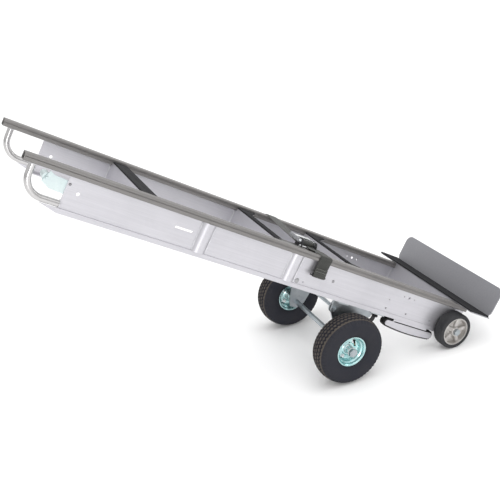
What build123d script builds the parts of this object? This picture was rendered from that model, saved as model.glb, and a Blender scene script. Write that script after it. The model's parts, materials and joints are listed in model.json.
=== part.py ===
from build123d import *
import os
from math import asin, atan2, cos, hypot, radians, sin

# Convertible hand truck standing on its four wheels.
#
# Every piece is drawn in the truck's own directions: x runs along the rails from the nose to the
# handles, y runs across to the right-hand side, and z is square to the load deck, zero at the rail
# tops. DECK lays those directions over the floor, so that the finished model has +Z up, the floor
# at Z = 0 and the origin under the middle of the object.

# ---- driving dimensions, mm --------------------------------------------------------------------
RAIL_END = 1770.0                 # handle end of the rails
NOSE_END = 30.0                   # nose end of the rails
RAIL_Y = 200.0                    # rail centre line from the middle
RAIL_WIDTH, RAIL_HEIGHT = 30.0, 22.0
SHEET = 3.0                       # side plates, crossbars
PLATE_END = 1635.0                # handle end of the side plates
PLATE_BOTTOM = -131.0
SILL_LIP, SILL_LEG, SILL_NOSE = 15.0, 26.0, 100.0

TOE_WIDTH, TOE_HEIGHT, TOE_SHEET, TOE_CORNER = 594.0, 120.0, 5.0, 30.0
FOOT_LENGTH, FOOT_SHEET, MAT_LENGTH, MAT_THICK, MAT_CORNER = 95.0, 4.0, 102.0, 6.0, 4.0

MAIN_AXLE = (497.0, -279.0)       # x, z of the big wheels' axle
NOSE_AXLE = (72.0, -97.0)         # x, z of the small wheels' axle
MAIN_R, MAIN_WIDTH, MAIN_Y = 129.0, 84.0, 230.0
NOSE_R, NOSE_WIDTH, NOSE_Y = 70.0, 47.0, 232.0
MAIN_SHAFT_R, NOSE_SHAFT_R = 9.5, 8.0
RUNNING = 0.05                    # radial clearance of every running fit

PIVOT = (580.0, -170.0)           # x, z of the wheel carriage's pivot bar
PIVOT_R = 6.5
BRACKET_Y, BRACKET_SHEET = 161.0, 6.0
LUG_Y, LUG_SHEET = 171.5, 5.0

HANDLE_R, HANDLE_WALL, HANDLE_X, HANDLE_Z, HANDLE_BEND = 10.0, 2.0, 1741.0, -107.5, 55.0

# x of the handle-side edge, width in the middle and width at the rails of each crossbar
CROSSBARS = {"rear": (1404.0, 50.0, 52.0), "middle": (903.0, 30.0, 76.0), "front": (585.0, 26.0, 98.0)}
CROSSBAR_TOP, CROSSBAR_DEPTH, PAD_THICK = -13.0, 92.0, 6.0
RIB_X, RIB_WIDTH, RIB_PROUD = (1186.0, 841.0), 48.0, 13.0

GLIDE_Y, BELT_WIDTH, BELT_THICK = 190.0, 24.0, 8.0
GLIDE_FRONT, GLIDE_REAR, GLIDE_LOW = (139.0, -156.0), (358.0, -154.0), (245.0, -178.0)
GLIDE_FRONT_R, GLIDE_REAR_R = 18.0, 16.0

STRAP_X, STRAP_WIDTH, STRAP_THICK = 742.0, 50.0, 2.5
RATCHET_X, RATCHET_Y, RATCHET_Z = 800.0, 158.0, 13.0
WINDER = (1690.0, -50.0)          # x, z of the strap winder's shaft

# ---- the deck over the floor -------------------------------------------------------------------
wheel_span = hypot(MAIN_AXLE[0] - NOSE_AXLE[0], MAIN_AXLE[1] - NOSE_AXLE[1])
AXLE_SLOPE = atan2(MAIN_AXLE[1] - NOSE_AXLE[1], MAIN_AXLE[0] - NOSE_AXLE[0])
TILT = asin((MAIN_R - NOSE_R) / wheel_span) - AXLE_SLOPE
AXLE_HEIGHT_IN_DECK = MAIN_AXLE[0] * sin(TILT) + MAIN_AXLE[1] * cos(TILT)
FLOOR_RISE = MAIN_R - AXLE_HEIGHT_IN_DECK
TOE_REACH = -TOE_SHEET * cos(TILT) - TOE_HEIGHT * sin(TILT)
RAIL_REACH = RAIL_END * cos(TILT)
HANDLE_REACH = (
    (HANDLE_X - HANDLE_BEND) * cos(TILT) - (HANDLE_Z + HANDLE_BEND) * sin(TILT) + HANDLE_BEND + HANDLE_R
)
SHIFT = -(TOE_REACH + max(HANDLE_REACH, RAIL_REACH + RAIL_HEIGHT * sin(TILT))) / 2

DECK = Plane(
    origin=(SHIFT, 0, FLOOR_RISE), x_dir=(cos(TILT), 0, sin(TILT)), z_dir=(-sin(TILT), 0, cos(TILT))
)
SIDES = {"right": 1, "left": -1}


def at(x, y, z):
    """A point given in the truck's own directions."""
    return DECK.from_local_coords((x, y, z))


def level(z):
    """Plane parallel to the load deck: local x along the rails, local y across."""
    return DECK.offset(z)


def lengthwise(y):
    """Upright plane along the truck: local x along the rails, local y up from the deck."""
    return Plane(origin=at(0, y, 0), x_dir=DECK.x_dir, z_dir=(0, -1, 0))


def crosswise(x):
    """Upright plane across the truck: local x across, local y up from the deck."""
    return Plane(origin=at(x, 0, 0), x_dir=(0, 1, 0), z_dir=DECK.x_dir)


def cross_axis(x, z):
    """Axis across the truck through a point of the side view."""
    return Axis(at(x, 0, z), (0, 1, 0))


def keep(builder, name):
    """Label a finished piece and write it."""
    builder.part.label = name
    export_step(builder.part, f"parts/{name}.step")


def slab(x0, x1, y0, y1, z0, z1):
    """Add a plain block between two corners of the truck's own directions."""
    with BuildSketch(level(z0)) as footprint:
        with Locations(((x0 + x1) / 2, (y0 + y1) / 2)):
            Rectangle(abs(x1 - x0), abs(y1 - y0))
    extrude(footprint.sketch, amount=z1 - z0)


def rod(x, z, radius, y0, y1, mode=Mode.ADD):
    """Add, or cut, a round bar that lies across the truck."""
    with BuildSketch(lengthwise(max(y0, y1))) as section:
        with Locations((x, z)):
            Circle(radius)
    extrude(section.sketch, amount=abs(y1 - y0), mode=mode)


def turned(outline, x, z, side):
    """Revolve an outline of (y, radius) points about an axis across the truck."""
    with BuildSketch(crosswise(x)) as section:
        with BuildLine():
            Polyline([(side * y, z + r) for y, r in outline], close=True)
        make_face()
    revolve(section.sketch, axis=cross_axis(x, z))


def hex_prism(x, z, flats, y0, y1):
    """Add a hexagon bar that lies across the truck."""
    with BuildSketch(lengthwise(max(y0, y1))) as section:
        with Locations((x, z)):
            RegularPolygon(flats / 2, 6, major_radius=False)
    extrude(section.sketch, amount=abs(y1 - y0))


os.makedirs("parts", exist_ok=True)

# ---- rails: grooved, hollow bumper extrusions --------------------------------------------------
RAIL_WALL, RAIL_CORNER, GROOVE, GROOVE_Z, POCKET = 2.4, 3.5, 3.0, -9.0, 6.0
for name, side in SIDES.items():
    with BuildPart() as rail:
        with BuildSketch(crosswise(NOSE_END)):
            with Locations((side * RAIL_Y, -RAIL_HEIGHT / 2)):
                RectangleRounded(RAIL_WIDTH, RAIL_HEIGHT, RAIL_CORNER)
                Rectangle(
                    RAIL_WIDTH - 2 * (RAIL_WALL + GROOVE), RAIL_HEIGHT - 2 * RAIL_WALL, mode=Mode.SUBTRACT
                )
            for edge in (-1, 1):
                with Locations((side * RAIL_Y + edge * (RAIL_WIDTH - GROOVE) / 2, GROOVE_Z)):
                    Rectangle(GROOVE, GROOVE, mode=Mode.SUBTRACT)
                pocket_y = side * RAIL_Y + edge * (RAIL_WIDTH / 2 - RAIL_WALL - GROOVE / 2)
                with Locations((pocket_y, (GROOVE_Z - RAIL_HEIGHT) / 2)):
                    Rectangle(GROOVE, POCKET, mode=Mode.SUBTRACT)
        extrude(amount=RAIL_END - NOSE_END)
    keep(rail, f"rail_{name}")

# ---- side plates -------------------------------------------------------------------------------
ACCESSORY_R, EYELET_R, PILOT_R = 5.0, 5.5, 2.6
ACCESSORY_HOLE, EYELET_HOLE = (311.0, -44.0), (1596.0, -66.0)
PILOT_HOLES = [(337.0, -44.0), (285.0, -44.0), (396.0, -71.0), (778.0, -107.0)]
SLOT_X, SLOT_Z, SLOT_LENGTH, SLOT_HEIGHT = 1258.0, -65.0, 62.0, 7.0
NOSE_CUT = -112.0                 # z where the plate's slanted nose corner starts
for name, side in SIDES.items():
    with BuildPart() as side_plate:
        with BuildSketch(lengthwise(side * RAIL_Y)):
            with BuildLine():
                Polyline(
                    (NOSE_END, -RAIL_HEIGHT), (PLATE_END, -RAIL_HEIGHT), (PLATE_END, PLATE_BOTTOM),
                    (SILL_NOSE, PLATE_BOTTOM), (NOSE_END, NOSE_CUT), close=True,
                )
            make_face()
            with Locations((SLOT_X, SLOT_Z)):
                SlotOverall(SLOT_LENGTH, SLOT_HEIGHT, mode=Mode.SUBTRACT)
            with Locations(PILOT_HOLES):
                Circle(PILOT_R, mode=Mode.SUBTRACT)
            with Locations(ACCESSORY_HOLE):
                Circle(ACCESSORY_R, mode=Mode.SUBTRACT)
            with Locations(EYELET_HOLE):
                Circle(EYELET_R, mode=Mode.SUBTRACT)
            with Locations(NOSE_AXLE):
                Circle(NOSE_SHAFT_R, mode=Mode.SUBTRACT)
        extrude(amount=SHEET / 2, both=True)
    keep(side_plate, f"side_plate_{name}")

# ---- sills: angles along the bottom edge of the side plates, pointed under the handles -----------
SILL_POINT = 1690.0
for name, side in SIDES.items():
    face = RAIL_Y + SHEET / 2
    with BuildPart() as sill:
        with BuildSketch(lengthwise(side * (face + SHEET / 2))):
            with BuildLine():
                Polyline(
                    (SILL_NOSE, PLATE_BOTTOM - SHEET), (SILL_NOSE, PLATE_BOTTOM - SHEET + SILL_LIP),
                    (SILL_POINT, PLATE_BOTTOM - SHEET + SILL_LIP), (PLATE_END, PLATE_BOTTOM - SHEET),
                    close=True,
                )
            make_face()
        extrude(amount=SHEET / 2, both=True)
        inner = face - SILL_LEG
        slab(SILL_NOSE, PLATE_END, side * inner, side * face, PLATE_BOTTOM - SHEET, PLATE_BOTTOM)
    keep(sill, f"sill_{name}")

# ---- half-round ribs welded to the outside of the plates, one group ----------------------------
with BuildPart() as ribs:
    rib_bottom = PLATE_BOTTOM - SHEET + SILL_LIP
    with BuildSketch(level(rib_bottom)):
        for side in SIDES.values():
            face = side * (RAIL_Y + SHEET / 2)
            for x in RIB_X:
                for half, proud, mode in ((RIB_WIDTH / 2, RIB_PROUD, Mode.ADD),
                                          (RIB_WIDTH / 2 - SHEET, RIB_PROUD - SHEET, Mode.SUBTRACT)):
                    with BuildLine():
                        ThreePointArc((x - half, face), (x, face + side * proud), (x + half, face))
                        Line((x + half, face), (x - half, face))
                    make_face(mode=mode)
    extrude(amount=-RAIL_HEIGHT - rib_bottom)
keep(ribs, "stiffener_ribs")

# ---- handles: bent tubes from the rail's underside to the end of the plate -----------------------
for name, side in SIDES.items():
    with BuildPart() as handle:
        with BuildLine(lengthwise(side * RAIL_Y)) as route:
            FilletPolyline(
                (HANDLE_X, -RAIL_HEIGHT), (HANDLE_X, HANDLE_Z), (PLATE_END, HANDLE_Z), radius=HANDLE_BEND
            )
        handle_top = at(HANDLE_X, side * RAIL_Y, -RAIL_HEIGHT)
        with BuildSketch(Plane(handle_top, x_dir=(0, 1, 0), z_dir=-DECK.z_dir)):
            Circle(HANDLE_R)
            Circle(HANDLE_R - HANDLE_WALL, mode=Mode.SUBTRACT)
        sweep(path=route.wires()[0])
    keep(handle, f"handle_{name}")

# ---- crossbars: a deep web on the handle side, a top flange and rubber pads ----------------------
FLARE_LENGTH, BAR_HALF, PAD_INSET, PLATE_INSIDE = 60.0, 184.5, 1.0, RAIL_Y - SHEET / 2


def flared(x, width, end_width, half_length):
    """Outline of a crossbar's top: straight on the handle side, flared at both rails."""
    flare = half_length - FLARE_LENGTH
    with BuildLine() as outline:
        Polyline(
            (x, -half_length), (x - end_width, -half_length), (x - width, -flare),
            (x - width, flare), (x - end_width, half_length), (x, half_length), close=True,
        )
    return outline.edges()


for name, (x, width, end_width) in CROSSBARS.items():
    web_bottom = CROSSBAR_TOP - CROSSBAR_DEPTH
    with BuildPart() as crossbar:
        with BuildSketch(level(CROSSBAR_TOP)):
            make_face(flared(x, width, end_width, BAR_HALF))
        extrude(amount=-SHEET)
        with BuildSketch(crosswise(x)):
            with BuildLine():
                Polyline(
                    (-BAR_HALF, CROSSBAR_TOP), (-BAR_HALF, -RAIL_HEIGHT), (-PLATE_INSIDE, -RAIL_HEIGHT),
                    (-PLATE_INSIDE, web_bottom), (PLATE_INSIDE, web_bottom), (PLATE_INSIDE, -RAIL_HEIGHT),
                    (BAR_HALF, -RAIL_HEIGHT), (BAR_HALF, CROSSBAR_TOP), close=True,
                )
            make_face()
        extrude(amount=-SHEET)
        slab(x - width, x, -PLATE_INSIDE, PLATE_INSIDE, web_bottom, web_bottom + SHEET)
    keep(crossbar, f"crossbar_{name}")

    with BuildPart() as pad:
        with BuildSketch(level(CROSSBAR_TOP)):
            make_face(flared(x, width, end_width, BAR_HALF - PAD_INSET))
        extrude(amount=PAD_THICK)
    keep(pad, f"pad_{name}")

# ---- nose: web panel, toe plate and its mat ------------------------------------------------------
NOSE_WEB_X, GUSSET_FOOT = 92.0, -70.0
with BuildPart() as nose_panel:
    slab(NOSE_WEB_X - SHEET, NOSE_WEB_X, -PLATE_INSIDE, PLATE_INSIDE, NOSE_CUT, -RAIL_HEIGHT)
    slab(NOSE_WEB_X - SHEET, NOSE_WEB_X, -BAR_HALF, BAR_HALF, -RAIL_HEIGHT, 0)
    slab(NOSE_END, NOSE_WEB_X, -BAR_HALF, BAR_HALF, -SHEET, 0)
    with BuildSketch(lengthwise(0)):
        with BuildLine():
            Polyline((NOSE_END, -SHEET), (NOSE_WEB_X, -SHEET), (NOSE_WEB_X, GUSSET_FOOT), close=True)
        make_face()
    extrude(amount=SHEET / 2, both=True)
keep(nose_panel, "nose_panel")

with BuildPart() as toe_plate:
    with BuildSketch(crosswise(-TOE_SHEET)) as blade:
        with Locations((0, TOE_HEIGHT / 2)):
            Rectangle(TOE_WIDTH, TOE_HEIGHT)
        fillet(blade.vertices().group_by(Axis.Z)[-1], TOE_CORNER)
    extrude(amount=TOE_SHEET)
    slab(-TOE_SHEET, FOOT_LENGTH, -TOE_WIDTH / 2, TOE_WIDTH / 2, 0, FOOT_SHEET)
keep(toe_plate, "toe_plate")

with BuildPart() as toe_mat:
    with BuildSketch(level(FOOT_SHEET)):
        with Locations((MAT_LENGTH / 2, 0)):
            RectangleRounded(MAT_LENGTH, TOE_WIDTH, MAT_CORNER)
    extrude(amount=MAT_THICK)
keep(toe_mat, "toe_mat")

# ---- rivets and bolt heads on the side plates, one group -----------------------------------------
RIVET_HEAD = 2.5
RIVETS = [(1627.0, -46.0, 4.0), (803.0, -108.0, 8.5), (664.0, -73.0, 5.5)]
GLIDE_BOLTS = [(394.0, -105.0, 3.5), (293.0, -104.0, 3.5), (169.0, -101.0, 3.5)]
with BuildPart() as plate_rivets:
    for side in SIDES.values():
        face = side * (RAIL_Y + SHEET / 2)
        for x, z, radius in RIVETS + GLIDE_BOLTS:
            rod(x, z, radius, face, face + side * RIVET_HEAD)
keep(plate_rivets, "plate_rivets")

# ---- stair glides: housing, belt and two rollers a side --------------------------------------------
CHEEK, CHEEK_GAP, BELT_SHOW = 3.0, 0.4, 6.0
HANGER_X, HANGER_LENGTH, HANGER_FOOT = 250.0, 170.0, -152.0
CHEEK_SLOT_X, CHEEK_SLOT_Z, CHEEK_SLOT_LENGTH, CHEEK_SLOT_HEIGHT = 241.0, -143.0, 178.0, 4.0
BRIDGE_X0, BRIDGE_X1, BRIDGE_LOW, BRIDGE_TOP = 185.0, 320.0, -160.0, -152.0
ROLLER_PIN_R, ROLLER_GAP = 4.0, 0.3


def glide_outline(inset):
    """Side outline of the belt loop, moved in by inset."""
    fx, fz = GLIDE_FRONT
    rx, rz = GLIDE_REAR
    fr, rr = GLIDE_FRONT_R - inset, GLIDE_REAR_R - inset
    with BuildLine() as outline:
        Line((fx, fz + fr), (rx, rz + rr))
        ThreePointArc((rx, rz + rr), (rx + rr, rz), (rx, rz - rr))
        ThreePointArc((rx, rz - rr), (GLIDE_LOW[0], GLIDE_LOW[1] + inset), (fx, fz - fr))
        ThreePointArc((fx, fz - fr), (fx - fr, fz), (fx, fz + fr))
    return outline.edges()


sill_under = PLATE_BOTTOM - SHEET
for name, side in SIDES.items():
    with BuildPart() as belt:
        with BuildSketch(lengthwise(side * GLIDE_Y)):
            make_face(glide_outline(0))
            make_face(glide_outline(BELT_THICK), mode=Mode.SUBTRACT)
        extrude(amount=BELT_WIDTH / 2, both=True)
    keep(belt, f"glide_belt_{name}")

    with BuildPart() as housing:
        for offset in (-1, 1):
            cheek_y = side * GLIDE_Y + offset * (BELT_WIDTH / 2 + CHEEK_GAP + CHEEK / 2)
            with BuildSketch(lengthwise(cheek_y)):
                make_face(glide_outline(BELT_SHOW))
                with Locations((HANGER_X, (sill_under + HANGER_FOOT) / 2)):
                    Rectangle(HANGER_LENGTH, sill_under - HANGER_FOOT)
                with Locations((CHEEK_SLOT_X, CHEEK_SLOT_Z)):
                    SlotOverall(CHEEK_SLOT_LENGTH, CHEEK_SLOT_HEIGHT, mode=Mode.SUBTRACT)
            extrude(amount=CHEEK / 2, both=True)
        reach = BELT_WIDTH / 2 + CHEEK_GAP
        for x, z in (GLIDE_FRONT, GLIDE_REAR):
            rod(x, z, ROLLER_PIN_R, side * GLIDE_Y - reach, side * GLIDE_Y + reach)
        slab(BRIDGE_X0, BRIDGE_X1, side * GLIDE_Y - reach, side * GLIDE_Y + reach, BRIDGE_LOW, BRIDGE_TOP)
    keep(housing, f"glide_housing_{name}")

    for end, (x, z), outer in (("front", GLIDE_FRONT, GLIDE_FRONT_R), ("rear", GLIDE_REAR, GLIDE_REAR_R)):
        radius = outer - BELT_THICK - ROLLER_GAP
        half_length = BELT_WIDTH / 2 - 1
        with BuildPart() as roller:
            rod(x, z, radius, side * GLIDE_Y - half_length, side * GLIDE_Y + half_length)
            rod(x, z, ROLLER_PIN_R + RUNNING, side * GLIDE_Y - BELT_WIDTH, side * GLIDE_Y + BELT_WIDTH,
                mode=Mode.SUBTRACT)
        keep(roller, f"glide_roller_{end}_{name}")

# ---- small nose wheels -----------------------------------------------------------------------------
NOSE_RIM_R, NOSE_HUB_R, NOSE_WEB, NOSE_RIM_THICK, NOSE_SHOULDER = 55.0, 17.0, 8.0, 5.0, 5.0
NOSE_NUT, NOSE_NUT_HEIGHT, WASHER_R, SHAFT_CHAMFER = 24.0, 7.0, 12.0, 1.5
nose_inner, nose_outer = NOSE_Y - NOSE_WIDTH / 2, NOSE_Y + NOSE_WIDTH / 2
nose_shaft_end = nose_outer + NOSE_NUT_HEIGHT + 2.0
with BuildPart() as nose_shaft:
    rod(*NOSE_AXLE, NOSE_SHAFT_R, -nose_shaft_end, nose_shaft_end)
    chamfer(nose_shaft.edges().group_by(Axis.Y)[0] + nose_shaft.edges().group_by(Axis.Y)[-1], SHAFT_CHAMFER)
keep(nose_shaft, "nose_axle")

for name, side in SIDES.items():
    with BuildPart() as nose_tyre:
        corner = NOSE_SHOULDER
        turned(
            [(nose_inner, NOSE_RIM_R), (nose_inner, NOSE_R - corner), (nose_inner + corner, NOSE_R),
             (nose_outer - corner, NOSE_R), (nose_outer, NOSE_R - corner), (nose_outer, NOSE_RIM_R)],
            *NOSE_AXLE, side,
        )
    keep(nose_tyre, f"nose_tyre_{name}")

    with BuildPart() as nose_hub:
        web_inner, web_outer = NOSE_Y - NOSE_WEB / 2, NOSE_Y + NOSE_WEB / 2
        rim_bore = NOSE_RIM_R - NOSE_RIM_THICK
        turned(
            [(nose_inner, NOSE_SHAFT_R + RUNNING), (nose_inner, NOSE_HUB_R), (web_inner, NOSE_HUB_R),
             (web_inner, rim_bore), (nose_inner + 1, rim_bore), (nose_inner + 1, NOSE_RIM_R),
             (nose_outer - 1, NOSE_RIM_R), (nose_outer - 1, rim_bore), (web_outer, rim_bore),
             (web_outer, NOSE_HUB_R), (nose_outer, NOSE_HUB_R), (nose_outer, NOSE_SHAFT_R + RUNNING)],
            *NOSE_AXLE, side,
        )
    keep(nose_hub, f"nose_hub_{name}")

# ---- wheel carriage: lugs and pivot bar on the frame, brackets and axle that swing -----------------
LUG_HALF, LUG_R, LUG_FOOT, NUT_GAP = 22.0, 17.0, 5.0, 0.8
with BuildPart() as lugs:
    for side in SIDES.values():
        with BuildSketch(lengthwise(side * LUG_Y)):
            with BuildLine():
                Polyline((PIVOT[0] - LUG_HALF, sill_under), (PIVOT[0] + LUG_HALF, sill_under),
                         (PIVOT[0] + LUG_R, PIVOT[1]), (PIVOT[0] - LUG_R, PIVOT[1]), close=True)
            make_face()
            with Locations(PIVOT):
                Circle(LUG_R)
                Circle(PIVOT_R, mode=Mode.SUBTRACT)
        extrude(amount=LUG_SHEET / 2, both=True)
        slab(PIVOT[0] - LUG_HALF, PIVOT[0] + LUG_HALF, side * LUG_Y, side * (RAIL_Y + SHEET),
             sill_under - LUG_FOOT, sill_under)
keep(lugs, "carriage_lugs")

PIVOT_NUT, PIVOT_NUT_HEIGHT = 20.0, 9.0
PIVOT_END = LUG_Y + LUG_SHEET / 2 + PIVOT_NUT_HEIGHT + 2.0
with BuildPart() as pivot_bar:
    rod(*PIVOT, PIVOT_R, -PIVOT_END, PIVOT_END)
keep(pivot_bar, "pivot_bar")

with BuildPart() as shaft_nuts:
    for side in SIDES.values():
        washer_y, lug_face = side * (RAIL_Y + SHEET / 2), side * (LUG_Y + LUG_SHEET / 2)
        hex_prism(*NOSE_AXLE, NOSE_NUT, side * (nose_outer + 1), side * (nose_outer + 1 + NOSE_NUT_HEIGHT))
        rod(*NOSE_AXLE, WASHER_R, washer_y, side * (nose_inner - NUT_GAP))
        rod(*NOSE_AXLE, NOSE_SHAFT_R, washer_y, side * nose_shaft_end, mode=Mode.SUBTRACT)
        hex_prism(*PIVOT, PIVOT_NUT, lug_face, lug_face + side * PIVOT_NUT_HEIGHT)
        rod(*PIVOT, PIVOT_R, lug_face, lug_face + side * PIVOT_NUT_HEIGHT, mode=Mode.SUBTRACT)
keep(shaft_nuts, "shaft_nuts")

STOP_X1, STOP_SHEET = 446.0, 5.0
EAR_X, EAR_Z, EAR_Y, EAR_SHEET = 392.0, -151.0, 141.0, 4.0
EAR_HALF, EAR_FOOT, LATCH_R = 10.0, 9.0, 5.0
with BuildPart() as stop_beam:
    slab(EAR_X - EAR_HALF, STOP_X1, -RAIL_Y, RAIL_Y, sill_under - STOP_SHEET, sill_under)
    for side in SIDES.values():
        slab(EAR_X - EAR_HALF, EAR_X + EAR_HALF, side * (EAR_Y - EAR_SHEET / 2),
             side * (EAR_Y + EAR_SHEET / 2), EAR_Z - EAR_FOOT, sill_under - STOP_SHEET)
        rod(EAR_X, EAR_Z, LATCH_R + RUNNING, side * (EAR_Y - EAR_SHEET), side * (EAR_Y + EAR_SHEET),
            mode=Mode.SUBTRACT)
keep(stop_beam, "stop_beam")

BRACKET_EYE_R, BRACKET_FOOT = 19.0, 24.0
BRACKET_OUTLINE = [
    (408.0, -140.0), (PIVOT[0] + 12, -140.0), (PIVOT[0] + BRACKET_EYE_R, PIVOT[1]), (553.0, -222.0),
    (MAIN_AXLE[0] + 36, MAIN_AXLE[1]), (MAIN_AXLE[0] + 20, MAIN_AXLE[1] - BRACKET_FOOT),
    (MAIN_AXLE[0] - 12, MAIN_AXLE[1] - BRACKET_FOOT), (463.0, -274.0), (458.0, -222.0), (408.0, -162.0),
]
for name, side in SIDES.items():
    with BuildPart() as bracket:
        with BuildSketch(lengthwise(side * BRACKET_Y)):
            with BuildLine():
                Polyline(BRACKET_OUTLINE, close=True)
            make_face()
            with Locations(PIVOT):
                Circle(BRACKET_EYE_R)
                Circle(PIVOT_R + RUNNING, mode=Mode.SUBTRACT)
            with Locations(MAIN_AXLE):
                Circle(MAIN_SHAFT_R, mode=Mode.SUBTRACT)
        extrude(amount=BRACKET_SHEET / 2, both=True)
    keep(bracket, f"carriage_bracket_{name}")

HUB_INNER, HUB_OUTER, SLEEVE_R = 186.0, 262.0, 14.0
MAIN_NUT, MAIN_NUT_HEIGHT = 28.0, 9.2
main_shaft_end = HUB_OUTER + NUT_GAP + MAIN_NUT_HEIGHT + 2.0
with BuildPart() as main_shaft:
    rod(*MAIN_AXLE, MAIN_SHAFT_R, -main_shaft_end, main_shaft_end)
    chamfer(main_shaft.edges().group_by(Axis.Y)[0] + main_shaft.edges().group_by(Axis.Y)[-1], SHAFT_CHAMFER)
keep(main_shaft, "main_axle")

with BuildPart() as axle_hardware:
    for side in SIDES.values():
        bracket_face = side * (BRACKET_Y + BRACKET_SHEET / 2)
        nut_face = HUB_OUTER + NUT_GAP
        rod(*MAIN_AXLE, SLEEVE_R, bracket_face, side * (HUB_INNER - NUT_GAP))
        hex_prism(*MAIN_AXLE, MAIN_NUT, side * nut_face, side * (nut_face + MAIN_NUT_HEIGHT))
        rod(*MAIN_AXLE, MAIN_SHAFT_R, bracket_face, side * main_shaft_end, mode=Mode.SUBTRACT)
keep(axle_hardware, "axle_hardware")

# ---- big pneumatic wheels ----------------------------------------------------------------------------
RIM_R, BEAD_R, RIM_SHEET, TYRE_WALL = 57.0, 50.0, 2.5, 7.0
BEAD_HALF, BEAD_WIDTH, HUB_R, HUB_BOLT_R, HUB_BOLTS = 28.0, 7.0, 17.0, 33.0, 4
BOLT_HEAD_R, BOLT_HEAD, RIM_DISH_R = 6.0, 5.0, 40.0
STEM_OUT, STEM_UP, STEM_LEAN, STEM_R, STEM_LENGTH = 13.0, 38.3, radians(40), 3.5, 22.0


def tyre_outline(side):
    """Section of a hollow tyre: two beads, bulging walls and a crown, each outside and inside."""
    shoulder_y, shoulder_r = MAIN_WIDTH / 2 - 12, MAIN_R - 7
    air_y, air_r = MAIN_WIDTH / 2 - 18, MAIN_R - TYRE_WALL - 5
    bead_inner, bead_top, bead_foot = BEAD_HALF - BEAD_WIDTH, RIM_R + 1, RIM_R - 5
    wall_r = (MAIN_R + RIM_R) / 2 - 1

    def spot(out, radius):
        return side * (MAIN_Y + out), MAIN_AXLE[1] + radius

    with BuildLine() as outline:
        for edge in (-1, 1):
            Polyline(spot(edge * BEAD_HALF, bead_top), spot(edge * BEAD_HALF, bead_foot),
                     spot(edge * bead_inner, bead_foot), spot(edge * bead_inner, bead_top))
            ThreePointArc(spot(edge * bead_inner, bead_top),
                          spot(edge * (MAIN_WIDTH / 2 - TYRE_WALL), wall_r), spot(edge * air_y, air_r))
            ThreePointArc(spot(edge * BEAD_HALF, bead_top), spot(edge * MAIN_WIDTH / 2, wall_r),
                          spot(edge * shoulder_y, shoulder_r))
        ThreePointArc(spot(-air_y, air_r), spot(0, MAIN_R - TYRE_WALL - 2), spot(air_y, air_r))
        ThreePointArc(spot(-shoulder_y, shoulder_r), spot(0, MAIN_R), spot(shoulder_y, shoulder_r))
    return outline.edges()


for name, side in SIDES.items():
    with BuildPart() as main_tyre:
        with BuildSketch(crosswise(MAIN_AXLE[0])):
            make_face(tyre_outline(side))
        revolve(axis=cross_axis(*MAIN_AXLE))
    keep(main_tyre, f"main_tyre_{name}")

    well, lip = BEAD_HALF - BEAD_WIDTH - 0.5, BEAD_HALF + RIM_SHEET
    half_section = [(RIM_SHEET, HUB_R), (RIM_SHEET, RIM_DISH_R), (well, RIM_DISH_R + 3), (lip, BEAD_R - 2),
                    (lip, RIM_R), (BEAD_HALF, RIM_R), (BEAD_HALF, BEAD_R + 1.5), (well, BEAD_R + 1.5),
                    (well - 3, RIM_DISH_R + 5.5)]
    with BuildPart() as rim:
        turned(
            [(MAIN_Y + out, r) for out, r in half_section]
            + [(MAIN_Y - out, r) for out, r in reversed(half_section)],
            *MAIN_AXLE, side,
        )
    keep(rim, f"main_rim_{name}")

    with BuildPart() as hub:
        turned(
            [(HUB_INNER, MAIN_SHAFT_R + RUNNING), (HUB_INNER, HUB_R), (HUB_OUTER, HUB_R),
             (HUB_OUTER, MAIN_SHAFT_R + RUNNING)],
            *MAIN_AXLE, side,
        )
    keep(hub, f"main_hub_{name}")

    with BuildPart() as rim_bolts:
        for reach in (1, -1):
            with BuildSketch(lengthwise(side * MAIN_Y + reach * (RIM_SHEET + BOLT_HEAD))):
                with Locations(MAIN_AXLE):
                    with PolarLocations(HUB_BOLT_R, HUB_BOLTS, start_angle=45):
                        RegularPolygon(BOLT_HEAD_R, 6)
            extrude(amount=reach * BOLT_HEAD)
    keep(rim_bolts, f"rim_bolts_{name}")

    with BuildPart() as valve:
        stem_base = at(MAIN_AXLE[0], side * (MAIN_Y + STEM_OUT), MAIN_AXLE[1] + STEM_UP)
        stem_axis = Vector(0, side * cos(STEM_LEAN), 0) - DECK.z_dir * sin(STEM_LEAN)
        with BuildSketch(Plane(stem_base, x_dir=DECK.x_dir, z_dir=stem_axis)):
            Circle(STEM_R)
        extrude(amount=STEM_LENGTH)
    keep(valve, f"valve_stem_{name}")

# ---- carriage catch: two hooks on a cross shaft with a foot pedal, and its return spring -----------------
HOOK_SHEET, PEDAL_LENGTH, PEDAL_THICK, PEDAL_INNER, PEDAL_OUTER = 5.0, 54.0, 4.0, 96.0, 134.0
HOOK_OUTLINE = [(-8, 6), (7, 6), (7, -16), (12, -24), (2, -32), (-8, -22)]
CATCH_END = BRACKET_Y + 15.0
with BuildPart() as catch:
    rod(EAR_X, EAR_Z, LATCH_R, -CATCH_END, CATCH_END)
    for side in SIDES.values():
        with BuildSketch(lengthwise(side * BRACKET_Y)):
            with BuildLine():
                Polyline([(EAR_X + x, EAR_Z + z) for x, z in HOOK_OUTLINE], close=True)
            make_face()
        extrude(amount=HOOK_SHEET / 2, both=True)
    slab(EAR_X - PEDAL_LENGTH, EAR_X, PEDAL_INNER, PEDAL_OUTER, EAR_Z - PEDAL_THICK, EAR_Z)
keep(catch, "carriage_catch")

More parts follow.
